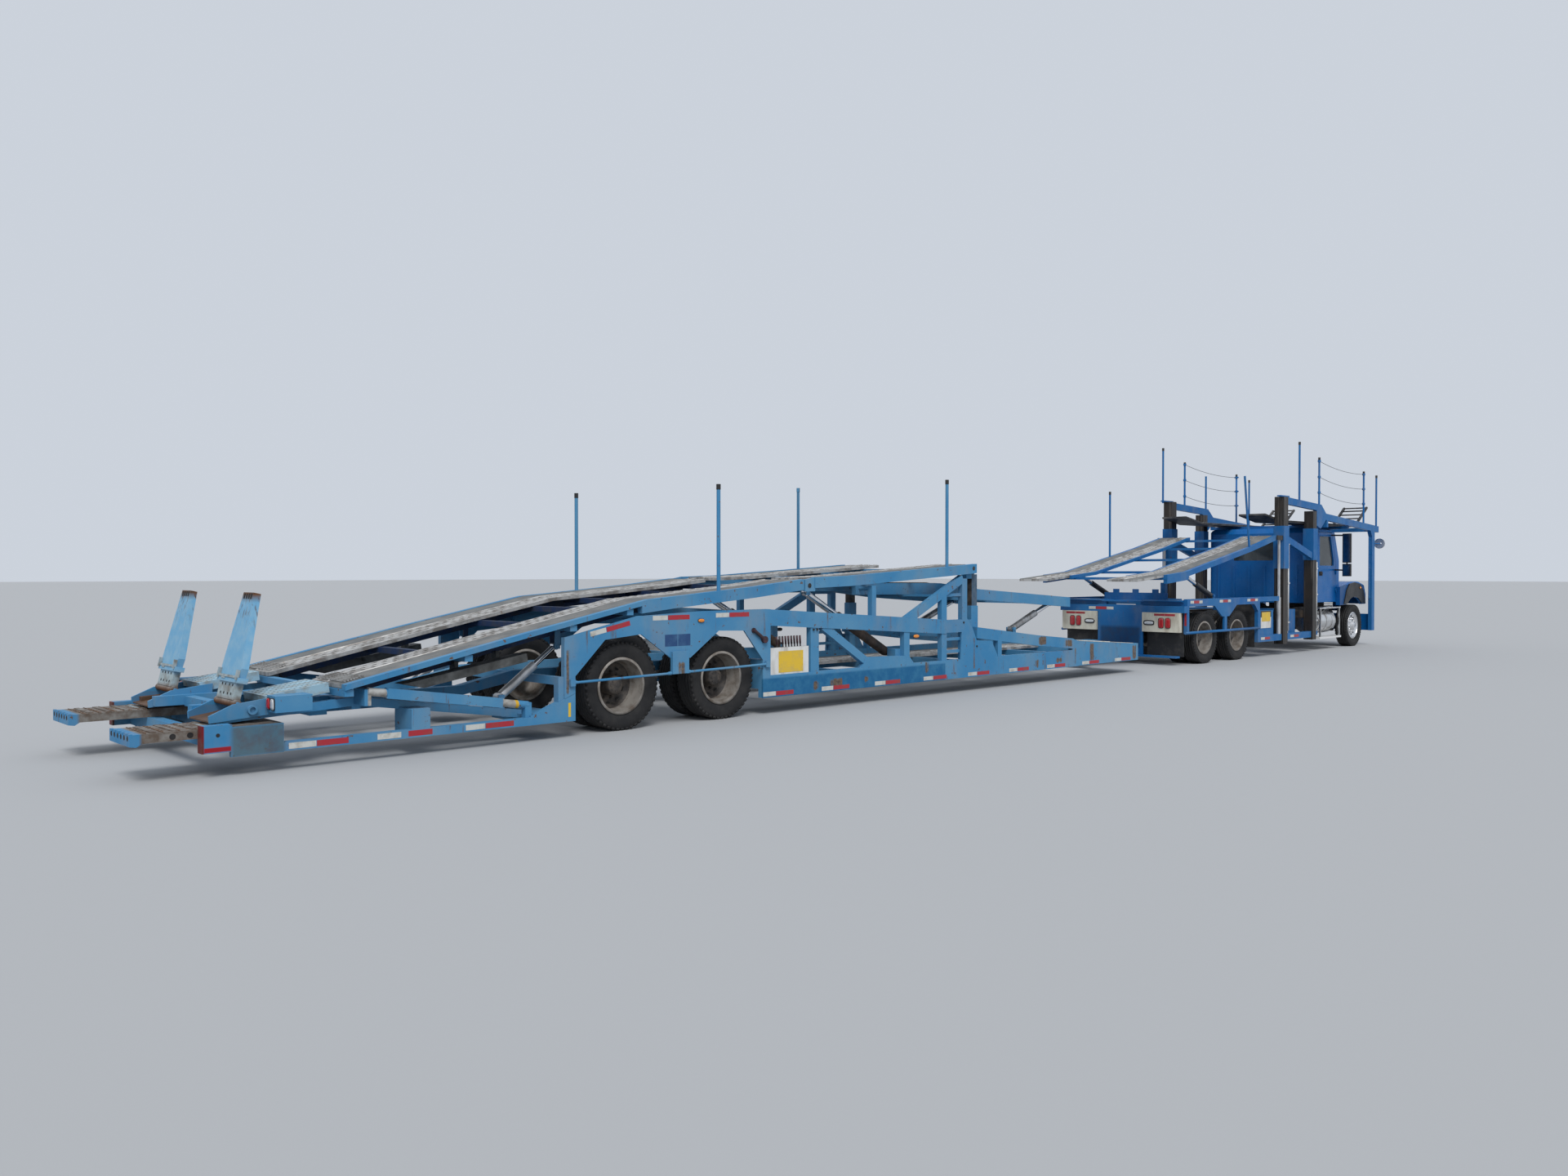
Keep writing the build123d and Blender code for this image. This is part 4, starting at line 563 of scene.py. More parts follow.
rack = loosen("head_rack")
mark(rack, 0, 0)
ROUND_MIRROR_OUT = 0.165
for v in rack.verts:
    if v.co.x > TRUCK_X + 10.050 and abs(v.co.y) > 1.06 and 2.18 < v.co.z < 2.42:
        v.co.y += math.copysign(ROUND_MIRROR_OUT, v.co.y)
fit(rack, "rack_with_mirrors", rack_blue, "truck", stands_for=("head_rack",))

# Trailer's frame and decks: the same pale blue, with painted shade on the beams inside the tail deck, coloured
# dark navy, the slide columns black with grease, and grey tubes with a striped ring on the tail arms.
# painted shade: the tail deck's inner beams are coloured dark navy
deck_blue_shaded_inside = repaint(trailer_enamel, "deck_blue_painted_shade_inside",
                    ((0.012, 0.030, 0.085), (0.035, 0.040, 0.055),
                     dict(x=(TRAILER_X - 2.880, far), wide=(-1.0, 0.947), z=(-1.0, 1.50))))
coat(deck_blue_shaded_inside, "tail_deck")


def rust_runs(skin, name, spots):
    """A copy of a finish with rust run down from welds: spots are (x, top, bottom, half width)."""
    copy, tree, shader, paint = copy_finish(skin, name)
    mask = None
    for x, top, bottom, half in spots:
        x += TRAILER_X
        here = region(tree, x=(x - half, x + half), z=(bottom, top), wide=(1.235, far), soft=0.035)
        mask = here if mask is None else combine(tree, "MAXIMUM", mask, here)
    ragged = combine(tree, "MULTIPLY", mask, grain(tree, 9, 8, (3.5, 3.5, 0.30)))
    eaten = steps(tree, ragged, [(0.30, 0.0), (0.44, 0.9)])
    tint = steps(tree, grain(tree, 34, 6), [(0.35, (0.075, 0.042, 0.022)), (0.60, (0.17, 0.105, 0.050)),
                                            (0.80, (0.27, 0.22, 0.13))])
    tree.links.new(layer(tree, paint, tint, eaten), shader.inputs["Base Color"])
    return copy


WELD_RUNS = ((5.940, 0.760, 0.290, 0.030), (6.030, 0.450, 0.310, 0.018), (7.620, 0.705, 0.560, 0.110),
             (8.330, 0.630, 0.500, 0.100), (8.520, 0.500, 0.215, 0.030), (6.808, 0.360, 0.210, 0.022),
             (6.985, 0.356, 0.336, 0.170), (7.160, 0.350, 0.270, 0.018), (7.480, 0.372, 0.225, 0.060),
             (7.640, 0.370, 0.240, 0.030), (8.060, 0.368, 0.270, 0.090), (8.990, 0.545, 0.250, 0.070),
             (9.750, 0.465, 0.215, 0.030), (10.290, 0.465, 0.215, 0.070))
REAR_RUNS = ((2.810, 0.350, 0.225, 0.060), (3.160, 0.360, 0.240, 0.120), (3.700, 0.360, 0.260, 0.050),
             (4.900, 0.480, 0.300, 0.050), (1.960, 1.220, 0.900, 0.025), (-0.720, 0.900, 0.420, 0.030),
             (0.690, 0.700, 0.480, 0.060), (2.080, 0.640, 0.455, 0.025))
side_blue = repaint(trailer_enamel, "side_blue_greasy_column",
                    ((0.045, 0.038, 0.033), (0.13, 0.11, 0.09),
                     dict(x=(TRAILER_X + 5.995, TRAILER_X + 6.125), wide=(1.10, 1.2035), z=(1.182, 1.66))))
side_blue = rust_runs(side_blue, "side_blue_weld_rust", REAR_RUNS + WELD_RUNS[:6])
coat(side_blue, "trailer_sides")
arm_blue = repaint(trailer_enamel, "frame_blue_deeper_sill",
                   ((0.012, 0.115, 0.260), (0.030, 0.16, 0.30),
                    dict(x=(TRAILER_X + 1.900, TRAILER_X + 5.300), wide=(1.27, far), z=(0.190, 0.420), soft=0.012)))
arm_blue = rust_runs(arm_blue, "frame_blue_weld_rust", REAR_RUNS[:4] + WELD_RUNS)
# two grey arm tubes and a yellow ring, the corner's dark edge, a rusty channel and box, a red strip
ARM_TUBE = dict(wide=(1.188, 1.272), z=(0.32, 0.645))
arm_blue = repaint(arm_blue, "frame_blue_red_strip",
                   ((0.42, 0.42, 0.40), (0.20, 0.17, 0.14), dict(ARM_TUBE, x=(TRAILER_X - 2.770, TRAILER_X - 2.600))),
                   ((0.42, 0.42, 0.40), (0.20, 0.17, 0.14), dict(ARM_TUBE, x=(TRAILER_X - 1.440, TRAILER_X - 1.265))),
                   ((0.62, 0.36, 0.03), None, dict(ARM_TUBE, x=(TRAILER_X - 1.300, TRAILER_X - 1.265))),
                   ((0.16, 0.010, 0.014), (0.09, 0.045, 0.030),
                    dict(x=(TRAILER_X - 4.20, TRAILER_X - 4.135), wide=(1.18, 1.30))),
                   ((0.13, 0.070, 0.040), (0.07, 0.045, 0.030),
                    dict(x=(TRAILER_X - 4.02, TRAILER_X - 3.54), wide=(0.562, 1.035), z=(0.40, 0.52))),
                   ((0.075, 0.115, 0.120), (0.085, 0.055, 0.034),
                    dict(x=(TRAILER_X - 3.925, TRAILER_X - 3.500), wide=(1.24, 1.30), z=(0.155, 0.405), soft=0.02)),
                   ((0.30, 0.012, 0.020), None,
                    dict(x=(TRAILER_X - 4.135, TRAILER_X - 3.930), wide=(1.24, 1.30), z=(0.212, 0.250))))
coat(arm_blue, "trailer_frame")

# Columns and rams of the rack and decks: square steel columns black with grease, bright where
# the sleeves slide, grey painted barrels, and hard chromed rods with a dark film of oil.
greasy_column, tree, shader = finish_nodes("greasy_column_steel", (0.055, 0.048, 0.042), 0.45, 0.35)
slid = steps(tree, grain(tree, 7, 6, (4, 4, 0.12)), [(0.52, 0.0), (0.66, 0.9)])
wiped = layer(tree, (0.026, 0.023, 0.021), (0.15, 0.135, 0.12), slid)
oil = steps(tree, grain(tree, 3, 7), [(0.45, 0.0), (0.70, 0.8)])
tree.links.new(layer(tree, wiped, (0.045, 0.032, 0.024), oil), shader.inputs["Base Color"])
dent(tree, shader, grain(tree, 40, 5), 0.25, 0.002)
barrel_grey = worn_finish("ram_barrel_grey", (0.55, 0.56, 0.57), 0.30, 0.5, (5, 7, (1, 1, 0.4)),
                          [(0.45, 0.0), (0.72, 0.75)], ((0.60, 0.61, 0.62), (0.24, 0.21, 0.18)),
                          ((50, 4), 0.15, 0.001))
barrel_black = worn_finish("oily_barrel_black", (0.035, 0.035, 0.037), 0.35, 0.3, (6, 7), [(0.48, 0.0), (0.72, 0.7)],
                           ((0.035, 0.035, 0.037), (0.14, 0.11, 0.085)), ((50, 4), 0.2, 0.001))
ram_chrome = worn_finish("ram_chrome", (0.78, 0.78, 0.79), 0.16, 1.0, (8, 6), [(0.50, 0.0), (0.80, 0.6)],
                         ((0.78, 0.78, 0.79), (0.35, 0.31, 0.26)))
coat(greasy_column, "rack_columns")
barrel_brown = worn_finish("rusty_ram_guard", (0.050, 0.036, 0.028), 0.6, 0.1, (10, 7, (1, 1, 0.5)),
                           [(0.36, (0.032, 0.026, 0.024)), (0.58, (0.085, 0.052, 0.034)), (0.76, (0.17, 0.15, 0.13))],
                           relief=((45, 5), 0.3, 0.002))
barrel_steel = worn_finish("dull_ram_steel", (0.30, 0.31, 0.32), 0.28, 0.7, (7, 6, (1, 1, 0.4)),
                           [(0.42, (0.36, 0.37, 0.38)), (0.60, (0.20, 0.19, 0.18)), (0.78, (0.10, 0.075, 0.055))],
                           relief=((50, 4), 0.15, 0.001))
coat(barrel_grey, "rack_cylinders", "tail_lift_barrels")
coat(barrel_black, "truck_lift_barrels")
coat(barrel_brown, "front_lift_barrels")
coat(barrel_steel, "neck_lift_barrels")
coat(ram_chrome, "truck_lift_rods", "tail_lift_rods", "front_lift_rods", "neck_lift_rods")

# Cab and doors: pressed steel in the glossy blue, with black mirror heads on chromed arms, tinted
# safety glass in rubber, and a dark grey trimmed inside.
door_skin = repaint(cab_enamel, "door_blue_black_mirrors", ((0.020, 0.020, 0.022), None, dict(wide=(1.085, far))))
coat(door_skin, "door_r", "door_l")
window_glass, tree, shader = finish_nodes("smoked_window_glass", (0.045, 0.055, 0.060), 0.06)
shader.inputs["Alpha"].default_value = 0.72
haze = steps(tree, grain(tree, 3, 5), [(0.4, (0.035, 0.045, 0.050)), (0.8, (0.085, 0.10, 0.11))])
tree.links.new(haze, shader.inputs["Base Color"])
coat(window_glass, "cab_glass", "door_glass_r", "door_glass_l")
cab_trim = worn_finish("dark_cab_trim", (0.055, 0.055, 0.060), 0.75, 0.0, (160, 2),
                       [(0.3, (0.040, 0.040, 0.045)), (0.7, (0.085, 0.085, 0.095))], relief=((300, 2), 0.2, 0.001))
coat(cab_trim, "cab_interior")

# Hood: one moulded shell with both fenders, in cab blue, with a bolted black flare round each arch
# and chromed bars in the grille mouth. The bumper below is the same blue.
hood_skin = repaint(cab_enamel, "hood_blue_chrome_grille",
                    ((0.018, 0.018, 0.019), None, dict(wide=(1.151, far))),
                    ((0.62, 0.62, 0.63), None, dict(x=(TRUCK_X + 9.800, far), wide=(-1.0, 0.442), z=(0.84, 1.21))),
                    metallic=1.0)
coat(hood_skin, "hood")
coat(cab_enamel, "front_bumper")

# Tanks: rolled aluminium drums on the chassis side, polished, with steel straps round them and
# white painted step planks above and below.
tank_skin, tree, shader = finish_nodes("polished_tank", (0.72, 0.73, 0.74), 0.20, 1.0)
film = steps(tree, grain(tree, 6, 6, (1, 1, 0.6)), [(0.42, 0.0), (0.72, 0.7)])
bare = layer(tree, (0.74, 0.75, 0.76), (0.34, 0.30, 0.26), film)
plank = region(tree, z=(0.235, 0.276))
tree.links.new(layer(tree, bare, (0.70, 0.70, 0.69), plank), shader.inputs["Base Color"])
tree.links.new(steps(tree, plank, [(0.0, 1.0), (1.0, 0.0)]), shader.inputs["Metallic"])
tree.links.new(steps(tree, plank, [(0.0, 0.20), (1.0, 0.60)]), shader.inputs["Roughness"])
coat(tank_skin, "tanks_and_steps")

# Mud flaps, lamp boards and valve board: black rubber sheets hung behind the twin wheels, cream
# painted lamp boards beside them, and a white board for the row of valve levers on the trailer.
flap_rubber = worn_finish("mud_flap_rubber", (0.018, 0.018, 0.019), 0.7, 0.0, (5, 7), [(0.48, 0.0), (0.75, 0.6)],
                          ((0.018, 0.018, 0.019), (0.11, 0.095, 0.08)), ((14, 3, (1, 1, 0.3)), 0.4, 0.004))
coat(flap_rubber, "mud_flaps")
board_cream = worn_finish("lamp_board_cream", (0.66, 0.63, 0.52), 0.45, 0.0, (5, 8, (1, 1, 0.4)),
                          [(0.44, 0.0), (0.74, 0.75)], ((0.66, 0.63, 0.52), (0.27, 0.21, 0.15)),
                          ((30, 5), 0.15, 0.001))
coat(board_cream, "truck_lamp_boxes")
board_white, tree, shader = finish_nodes("valve_board_white", (0.68, 0.68, 0.66), 0.5)
stain = steps(tree, grain(tree, 7, 8, (1, 1, 0.3)), [(0.46, 0.0), (0.70, 0.7)])
stained = layer(tree, (0.68, 0.68, 0.66), (0.30, 0.25, 0.20), stain)
tree.links.new(layer(tree, stained, (0.03, 0.028, 0.027), region(tree, z=(0.7705, far))), shader.inputs["Base Color"])
dent(tree, shader, grain(tree, 30, 5), 0.15, 0.001)
coat(board_white, "valve_boards")

# Tail: folded flipper ramps in pale blue whose feet and tips are rubbed to rust, the lamp boxes in
# the same blue, and skids that slide in rusty channels with pale upturned ends.
flipper_skin = repaint(trailer_enamel, "flipper_rusty_foot",
                       ((0.155, 0.370, 0.560), (0.235, 0.420, 0.560), dict(z=(0.60, far), soft=0.02)),
                       ((0.34, 0.42, 0.44), (0.17, 0.16, 0.14), dict(z=(0.0, 0.72), soft=0.03)),
                       ((0.13, 0.060, 0.028), (0.06, 0.035, 0.022), dict(z=(1.425, far), soft=0.035)),
                       ((0.17, 0.080, 0.038), (0.10, 0.050, 0.028), dict(z=(0.0, 0.590), soft=0.03)))
tree = flipper_skin.node_tree
shader = tree.nodes["Principled BSDF"]
painted = shader.inputs["Base Color"].links[0].from_socket
runs = steps(tree, grain(tree, 9, 8, (5, 5, 0.35)), [(0.55, 0.0), (0.64, 0.95)])
high_up = steps(tree, region(tree, z=(1.22, far), soft=0.14), [(0.2, 0.0), (1.0, 1.0)])
rusty = combine(tree, "MULTIPLY", runs, high_up)
tree.links.new(layer(tree, painted, (0.11, 0.048, 0.022), rusty), shader.inputs["Base Color"])
coat(flipper_skin, "flipper_r", "flipper_l")
skid_skin = repaint(trailer_enamel, "skid_pale_end_brown_body",
                    ((0.115, 0.085, 0.065), (0.24, 0.23, 0.21), dict(x=(TRAILER_X - 4.56, far), soft=0.012)))
coat(skid_skin, "tail_skids")
coat(trailer_enamel, "tail_lamp_boxes")

# Lamps: clear and red lenses in black rubber rings, one upright pair and one reversing lamp on
# each cream board, one pair on each tail box, amber markers on the sides, headlamps in the hood.
lamp_skins = [flap_rubber]
for name, base, roughness, metallic, scale, low, high in (
        ("lens_red", (0.42, 0.008, 0.012), 0.14, 0.0, 90, (0.30, 0.006, 0.010), (0.55, 0.015, 0.020)),
        ("lens_clear", (0.72, 0.74, 0.75), 0.12, 0.35, 80, (0.52, 0.54, 0.55), (0.86, 0.87, 0.88)),
        ("lens_amber", (0.75, 0.22, 0.01), 0.16, 0.0, 90, (0.62, 0.16, 0.008), (0.90, 0.32, 0.02))):
    lens = worn_finish(name, base, roughness, metallic, (scale, 2), [(0.35, low), (0.70, high)])
    lens.node_tree.nodes["Principled BSDF"].inputs["Coat Weight"].default_value = 0.6
    lamp_skins.append(lens)
RED, CLEAR, AMBER = 1, 2, 3


def lay_lens(bm, centre, across, along, half_long, half_tall, glass, square=2.5, open_share=0.85):
    """A domed lens in a rubber ring: a rounded outline on the plane that faces across."""
    across, along = Vector(across).normalized(), Vector(along).normalized()
    upward = across.cross(along)
    outline = []
    for i in range(28):
        t = 2 * math.pi * i / 28
        c, s = math.cos(t), math.sin(t)
        outline.append((math.copysign(abs(c) ** (2 / square), c), math.copysign(abs(s) ** (2 / square), s)))
    # share of the outline, height over the board, finish
    rings = [(1.0, 0.0, 0), (1.0, 0.008, 0), (open_share + 0.05, 0.010, 0), (open_share + 0.01, 0.006, 0),
             (open_share, 0.011, glass), (open_share * 0.73, 0.017, glass), (open_share * 0.35, 0.020, glass)]
    loops = []
    for share, height, finish in rings:
        inset = (1 - share) * min(half_long, half_tall)
        loops.append([bm.verts.new(Vector(centre) + along * (u * (half_long - inset)) +
                                   upward * (v * (half_tall - inset)) + across * height) for u, v in outline])
    for low, high, (share, height, finish) in zip(loops, loops[1:], rings[1:]):
        stitch(bm, low, high, finish, True)
    lay_face(bm, loops[-1], glass)
    lay_face(bm, loops[0][::-1])


TRAILER_SIDE_Y, TRUCK_SIDE_Y = 1.290, 1.255
PROUD = 0.0002
lamp_board_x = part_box("truck_lamp_boxes")[0][0]
truck_lamps = bmesh.new()
for s in (-1, 1):
    for y, half_y, half_z, glass, square, open_share in ((0.600, 0.105, 0.046, CLEAR, 3.4, 0.58),
                                                         (0.835, 0.055, 0.095, RED, 4.0, 0.85),
                                                         (0.965, 0.055, 0.095, RED, 4.0, 0.85)):
        lay_lens(truck_lamps, (lamp_board_x - PROUD, s * y, 0.745), (-1, 0, 0), (0, 1, 0), half_y, half_z, glass,
                 square, open_share)
    lay_lens(truck_lamps, (TRUCK_X + 9.4, s * 1.1765, 1.300), (0, s, 0), (1, 0, 0), 0.045, 0.028, AMBER)
    lay_lens(truck_lamps, (TRUCK_X + 9.8622, s * 0.900, 1.080), (1, 0, 0), (0, 1, 0), 0.125, 0.085, CLEAR, 3.5)
fit(truck_lamps, "truck_lenses", lamp_skins, "truck")
tail_box_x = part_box("tail_lamp_boxes")[0][0]
trailer_lamps = bmesh.new()
for s in (-1, 1):
    for y, glass in ((1.105, RED), (1.196, CLEAR)):
        lay_lens(trailer_lamps, (tail_box_x - PROUD, s * y, 0.549), (-1, 0, 0), (0, 1, 0), 0.040, 0.052, glass, 4.0)
    for x, z, half_x, half_z in ((4.676, 0.809, 0.058, 0.026), (1.000, 1.120, 0.045, 0.022)):
        lay_lens(trailer_lamps, (TRAILER_X + x, s * (TRAILER_SIDE_Y + PROUD), z), (0, s, 0), (1, 0, 0),
                 half_x, half_z, AMBER)
fit(trailer_lamps, "trailer_lenses", lamp_skins, "trailer")

# Reflective tape: strips of white and red foil, stuck along the sills, wheel plates and beams,
# scuffed and dulled by grit. The tail's strips have gone rusty brown at their edges.
tape_white = worn_finish("tape_white", (0.54, 0.54, 0.50), 0.35, 0.0, (12, 8), [(0.48, 0.0), (0.70, 0.8)],
                         ((0.56, 0.56, 0.52), (0.33, 0.30, 0.24)), ((260, 1), 0.15, 0.0004))
tape_red = worn_finish("tape_red", (0.38, 0.018, 0.030), 0.35, 0.0, (12, 8), [(0.50, 0.0), (0.72, 0.8)],
                       ((0.38, 0.018, 0.030), (0.20, 0.075, 0.050)), ((260, 1), 0.15, 0.0004))
TAPE_T, TAPE_TALL = 0.0012, 0.050


def stick(bm, x0, z0, x1, z1, y, colour):
    """A strip on a side face at y, from one end's middle to the other's."""
    side = math.copysign(1, y)
    slope = math.atan2(z1 - z0, x1 - x0)
    turn = Matrix.Translation((x0, y, z0)) @ Matrix.Rotation(-slope, 4, "Y")
    length = math.dist((x0, z0), (x1, z1))
    lay_block(bm, (0.0, length), pair(side, PROUD, TAPE_T), (-TAPE_TALL / 2, TAPE_TALL / 2), turn, colour)


WHITE, TAPE_RED = 0, 1
# x0, z0, x1, z1, colour, along the trailer's right side
side_tapes = [(-0.455, 1.023, -0.261, 1.061, WHITE), (-0.255, 1.062, 0.039, 1.122, TAPE_RED),
              (0.338, 1.164, 0.537, 1.164, WHITE), (0.543, 1.164, 0.839, 1.164, TAPE_RED),
              (1.217, 1.172, 1.410, 1.172, WHITE), (1.416, 1.172, 1.713, 1.172, TAPE_RED),
              (-3.470, 0.204, -3.240, 0.204, WHITE), (-3.235, 0.204, -2.960, 0.204, TAPE_RED),
              (-2.700, 0.204, -2.480, 0.204, WHITE), (-2.411, 0.205, -2.179, 0.205, TAPE_RED),
              (-1.845, 0.205, -1.646, 0.205, WHITE), (-1.640, 0.205, -1.338, 0.205, TAPE_RED)]
for k in range(9):
    start = 1.934 + 0.968 * k
    side_tapes += [(start, 0.240, start + 0.200, 0.240, WHITE),
                   (start + 0.205, 0.240, start + 0.490, 0.240, TAPE_RED)]
trailer_tape = bmesh.new()
for x0, z0, x1, z1, colour in side_tapes:
    for s in (-1, 1):
        stick(trailer_tape, TRAILER_X + x0, z0, TRAILER_X + x1, z1, s * TRAILER_SIDE_Y, colour)
fit(trailer_tape, "trailer_tape", [tape_white, tape_red], "trailer")
truck_tape = bmesh.new()
# starts, height, and the pieces of each strip
for starts, z, strip in (
        ((1.260, 2.380, 3.520), 1.118, ((0.0, 0.130, WHITE), (0.134, 0.330, TAPE_RED), (0.334, 0.450, WHITE))),
        ((4.120, 5.480), 0.362, ((0.0, 0.170, WHITE), (0.174, 0.400, TAPE_RED)))):
    for start in starts:
        for a, b, colour in strip:
            for s in (-1, 1):
                stick(truck_tape, TRUCK_X + start + a, z, TRUCK_X + start + b, z, s * TRUCK_SIDE_Y, colour)


def stick_behind(bm, x, y, z, colour):
    """A strip on a face that looks backward at x."""
    lay_block(bm, (x - TAPE_T, x - PROUD), y, z, None, colour)


for y0, y1, colour in ((0.500, 0.640, WHITE), (0.274, 0.496, TAPE_RED), (0.130, 0.270, WHITE)):
    stick_behind(truck_tape, TRUCK_X + 1.040, (y0, y1), (0.965, 1.015), colour)
for s in (-1, 1):
    for y0, y1 in ((0.700, 0.900), (0.904, 1.100)):
        stick_behind(truck_tape, lamp_board_x, pair(s, y0, y1), (0.872, 0.912), TAPE_RED)
    stick_behind(truck_tape, TRUCK_X + 1.150, pair(s, 1.200, 1.240), (0.700, 0.980), TAPE_RED)
fit(truck_tape, "truck_tape", [tape_white, tape_red], "truck")

# Front deck: the welded deck as made, but with its left stake upright like the right one. Each
# stake is blue tube dropped into a socket in the rail, under a black rubber cap.
STAKE_R, STAKE_Y, CAP_DROP, CAP_OVER = 0.022, 1.245, 0.060, 0.003


def stand_stake(bm, x, y, foot, top, radius, collars=()):
    """A round tube with a rubber cap, and clamp collars at the given heights."""
    before = len(bm.faces)
    lay_disc(bm, (x, y, foot), (0, 0, 1), radius, top - foot - 0.001, 20)
    mark(bm, before, 0, True)
    before = len(bm.faces)
    lay_disc(bm, (x, y, top - CAP_DROP), (0, 0, 1), radius + CAP_OVER, 0.0595, 20)
    mark(bm, before, 1)
    for z in collars:
        lay_disc(bm, (x, y, z - 0.022), (0, 0, 1), radius + 0.010, 0.044, 16)
        lay_block(bm, (x - 0.012, x + 0.012), (y - radius - 0.030, y + radius + 0.030), (z - 0.012, z + 0.012))


deck_body = loosen("front_deck")
stake_top = [v for v in deck_body.verts if v.co.z > 1.80 and v.co.y > 1.2]
bmesh.ops.delete(deck_body, geom=stake_top, context="VERTS")
bmesh.ops.holes_fill(deck_body, edges=[e for e in deck_body.edges if e.is_boundary], sides=0)
mark(deck_body, 0, 0)
stand_stake(deck_body, TRAILER_X + 5.022, 1.250, 1.690, 2.899, STAKE_R)
fit(deck_body, "front_deck_upright_stake", [trailer_enamel, flap_rubber], "front_deck", stands_for=("front_deck",))

# Rack stakes and safety lines: one more stake stands on the left rail, and three steel lines
# run from stake to stake on each side, held in clamp collars a little slack.
line_steel = worn_finish("safety_line_steel", (0.20, 0.21, 0.22), 0.4, 0.7, (200, 2, (1, 1, 1)),
                         [(0.35, (0.12, 0.13, 0.14)), (0.70, (0.34, 0.35, 0.36))])
RACK_TUBE_R, LINE_R, LINE_SAG = 0.020, 0.0055, 0.065
# side, rear stake's x, front stake's x, heights at the rear stake, heights at the front one
left, right = line_spans = ((1, 5.910, 8.420, (4.000, 3.660, 3.310), (3.858, 3.533, 3.200)),
                            (-1, 6.900, 9.380, (3.974, 3.643, 3.317), (3.839, 3.511, 3.180)))
stakes = bmesh.new()
stand_stake(stakes, TRUCK_X + left[2], STAKE_Y, 2.700, 3.930, RACK_TUBE_R, left[4])
for s, x, heights in ((1, left[1], left[3]), (-1, right[1], right[3]), (-1, right[2], right[4])):
    for z in heights:
        lay_disc(stakes, (TRUCK_X + x, s * STAKE_Y, z - 0.022), (0, 0, 1), 0.031, 0.044, 16)
fit(stakes, "rack_stake_and_collars", [truck_enamel, flap_rubber], "truck")
lines = bmesh.new()
for s, rear, front, high, low in line_spans:
    for z0, z1 in zip(high, low):
        spots = []
        for k in range(17):
            t = k / 16
            sagged = z0 + (z1 - z0) * t - 4 * LINE_SAG * t * (1 - t)
            spots.append(Vector((TRUCK_X + rear + (front - rear) * t, s * STAKE_Y, sagged)))
        turns = [math.pi * i / 4 for i in range(8)]
        round_line = [Vector((0, LINE_R * math.cos(t), LINE_R * math.sin(t))) for t in turns]
        rings = [[lines.verts.new(spot + out) for out in round_line] for spot in spots]
        for a, b in zip(rings, rings[1:]):
            stitch(lines, a, b, 0, True)
        lay_face(lines, rings[0][::-1])
        lay_face(lines, rings[-1])
fit(lines, "rack_safety_lines", line_steel, "truck")

# Caps, bolts and pin heads: black rubber caps on every stake, hexagon bolts through the welded
# gussets and columns, and dark greased ends on the deck pins.
caps = {body: bmesh.new() for body in ("truck", "truck_deck", "tail_deck", "front_deck")}
# body, and the stake's x, y and top
rack_tops = (("truck", 4.950, 1.245, 4.290), ("truck", 5.910, 1.245, 4.050), ("truck", 5.900, -1.245, 4.300),
             ("truck", 6.900, -1.245, 4.050), ("truck", 9.380, -1.245, 3.905), ("truck", 9.090, 1.245, 3.835),
             ("truck", 10.150, -1.245, 3.860), ("truck_deck", 2.750, 1.215, 3.257))
trailer_tops = (("tail_deck", 1.100, 1.250, 2.640), ("tail_deck", 1.290, -1.250, 2.630),
                ("front_deck", 5.380, -1.250, 2.900))
for tops, at, radius in ((rack_tops, TRUCK_X, RACK_TUBE_R), (trailer_tops, TRAILER_X, STAKE_R)):
    for body, x, y, top in tops:
        lay_disc(caps[body], (at + x, y, top - CAP_DROP), (0, 0, 1), radius + CAP_OVER, 0.0598, 20)
for body, cap in caps.items():
    fit(cap, "stake_caps_" + body, flap_rubber, body)
pin_black = worn_finish("greased_pin_black", (0.020, 0.019, 0.018), 0.35, 0.4, (40, 4),
                        [(0.45, (0.020, 0.019, 0.018)), (0.75, (0.09, 0.075, 0.06))])


def side_studs(bm, spots, y, radius, depth, sides, finish=0):
    """Like studs on both side faces of the trailer, at y from its middle: spots are (x, z)."""
    for s in (-1, 1):
        for x, z in spots:
            lay_disc(bm, (TRAILER_X + x, s * y, z), (0, s, 0), radius, depth, sides, finish)


pin_ends = bmesh.new()
side_studs(pin_ends, ((5.930, 1.700),), 1.2862, 0.028, 0.002, 24)
gusset_bolts = ((6.000, 0.620), (0.600, 0.700), (0.780, 0.700), (2.760, 0.960), (2.820, 0.960), (5.700, 0.960))
side_studs(pin_ends, gusset_bolts, TRAILER_SIDE_Y + PROUD, 0.014, 0.010, 6)
fit(pin_ends, "trailer_pin_ends", pin_black, "trailer")
deck_pins = bmesh.new()
side_studs(deck_pins, ((2.700, 1.490),), 1.2852, 0.028, 0.002, 24)
fit(deck_pins, "deck_pin_ends", pin_black, "tail_deck")

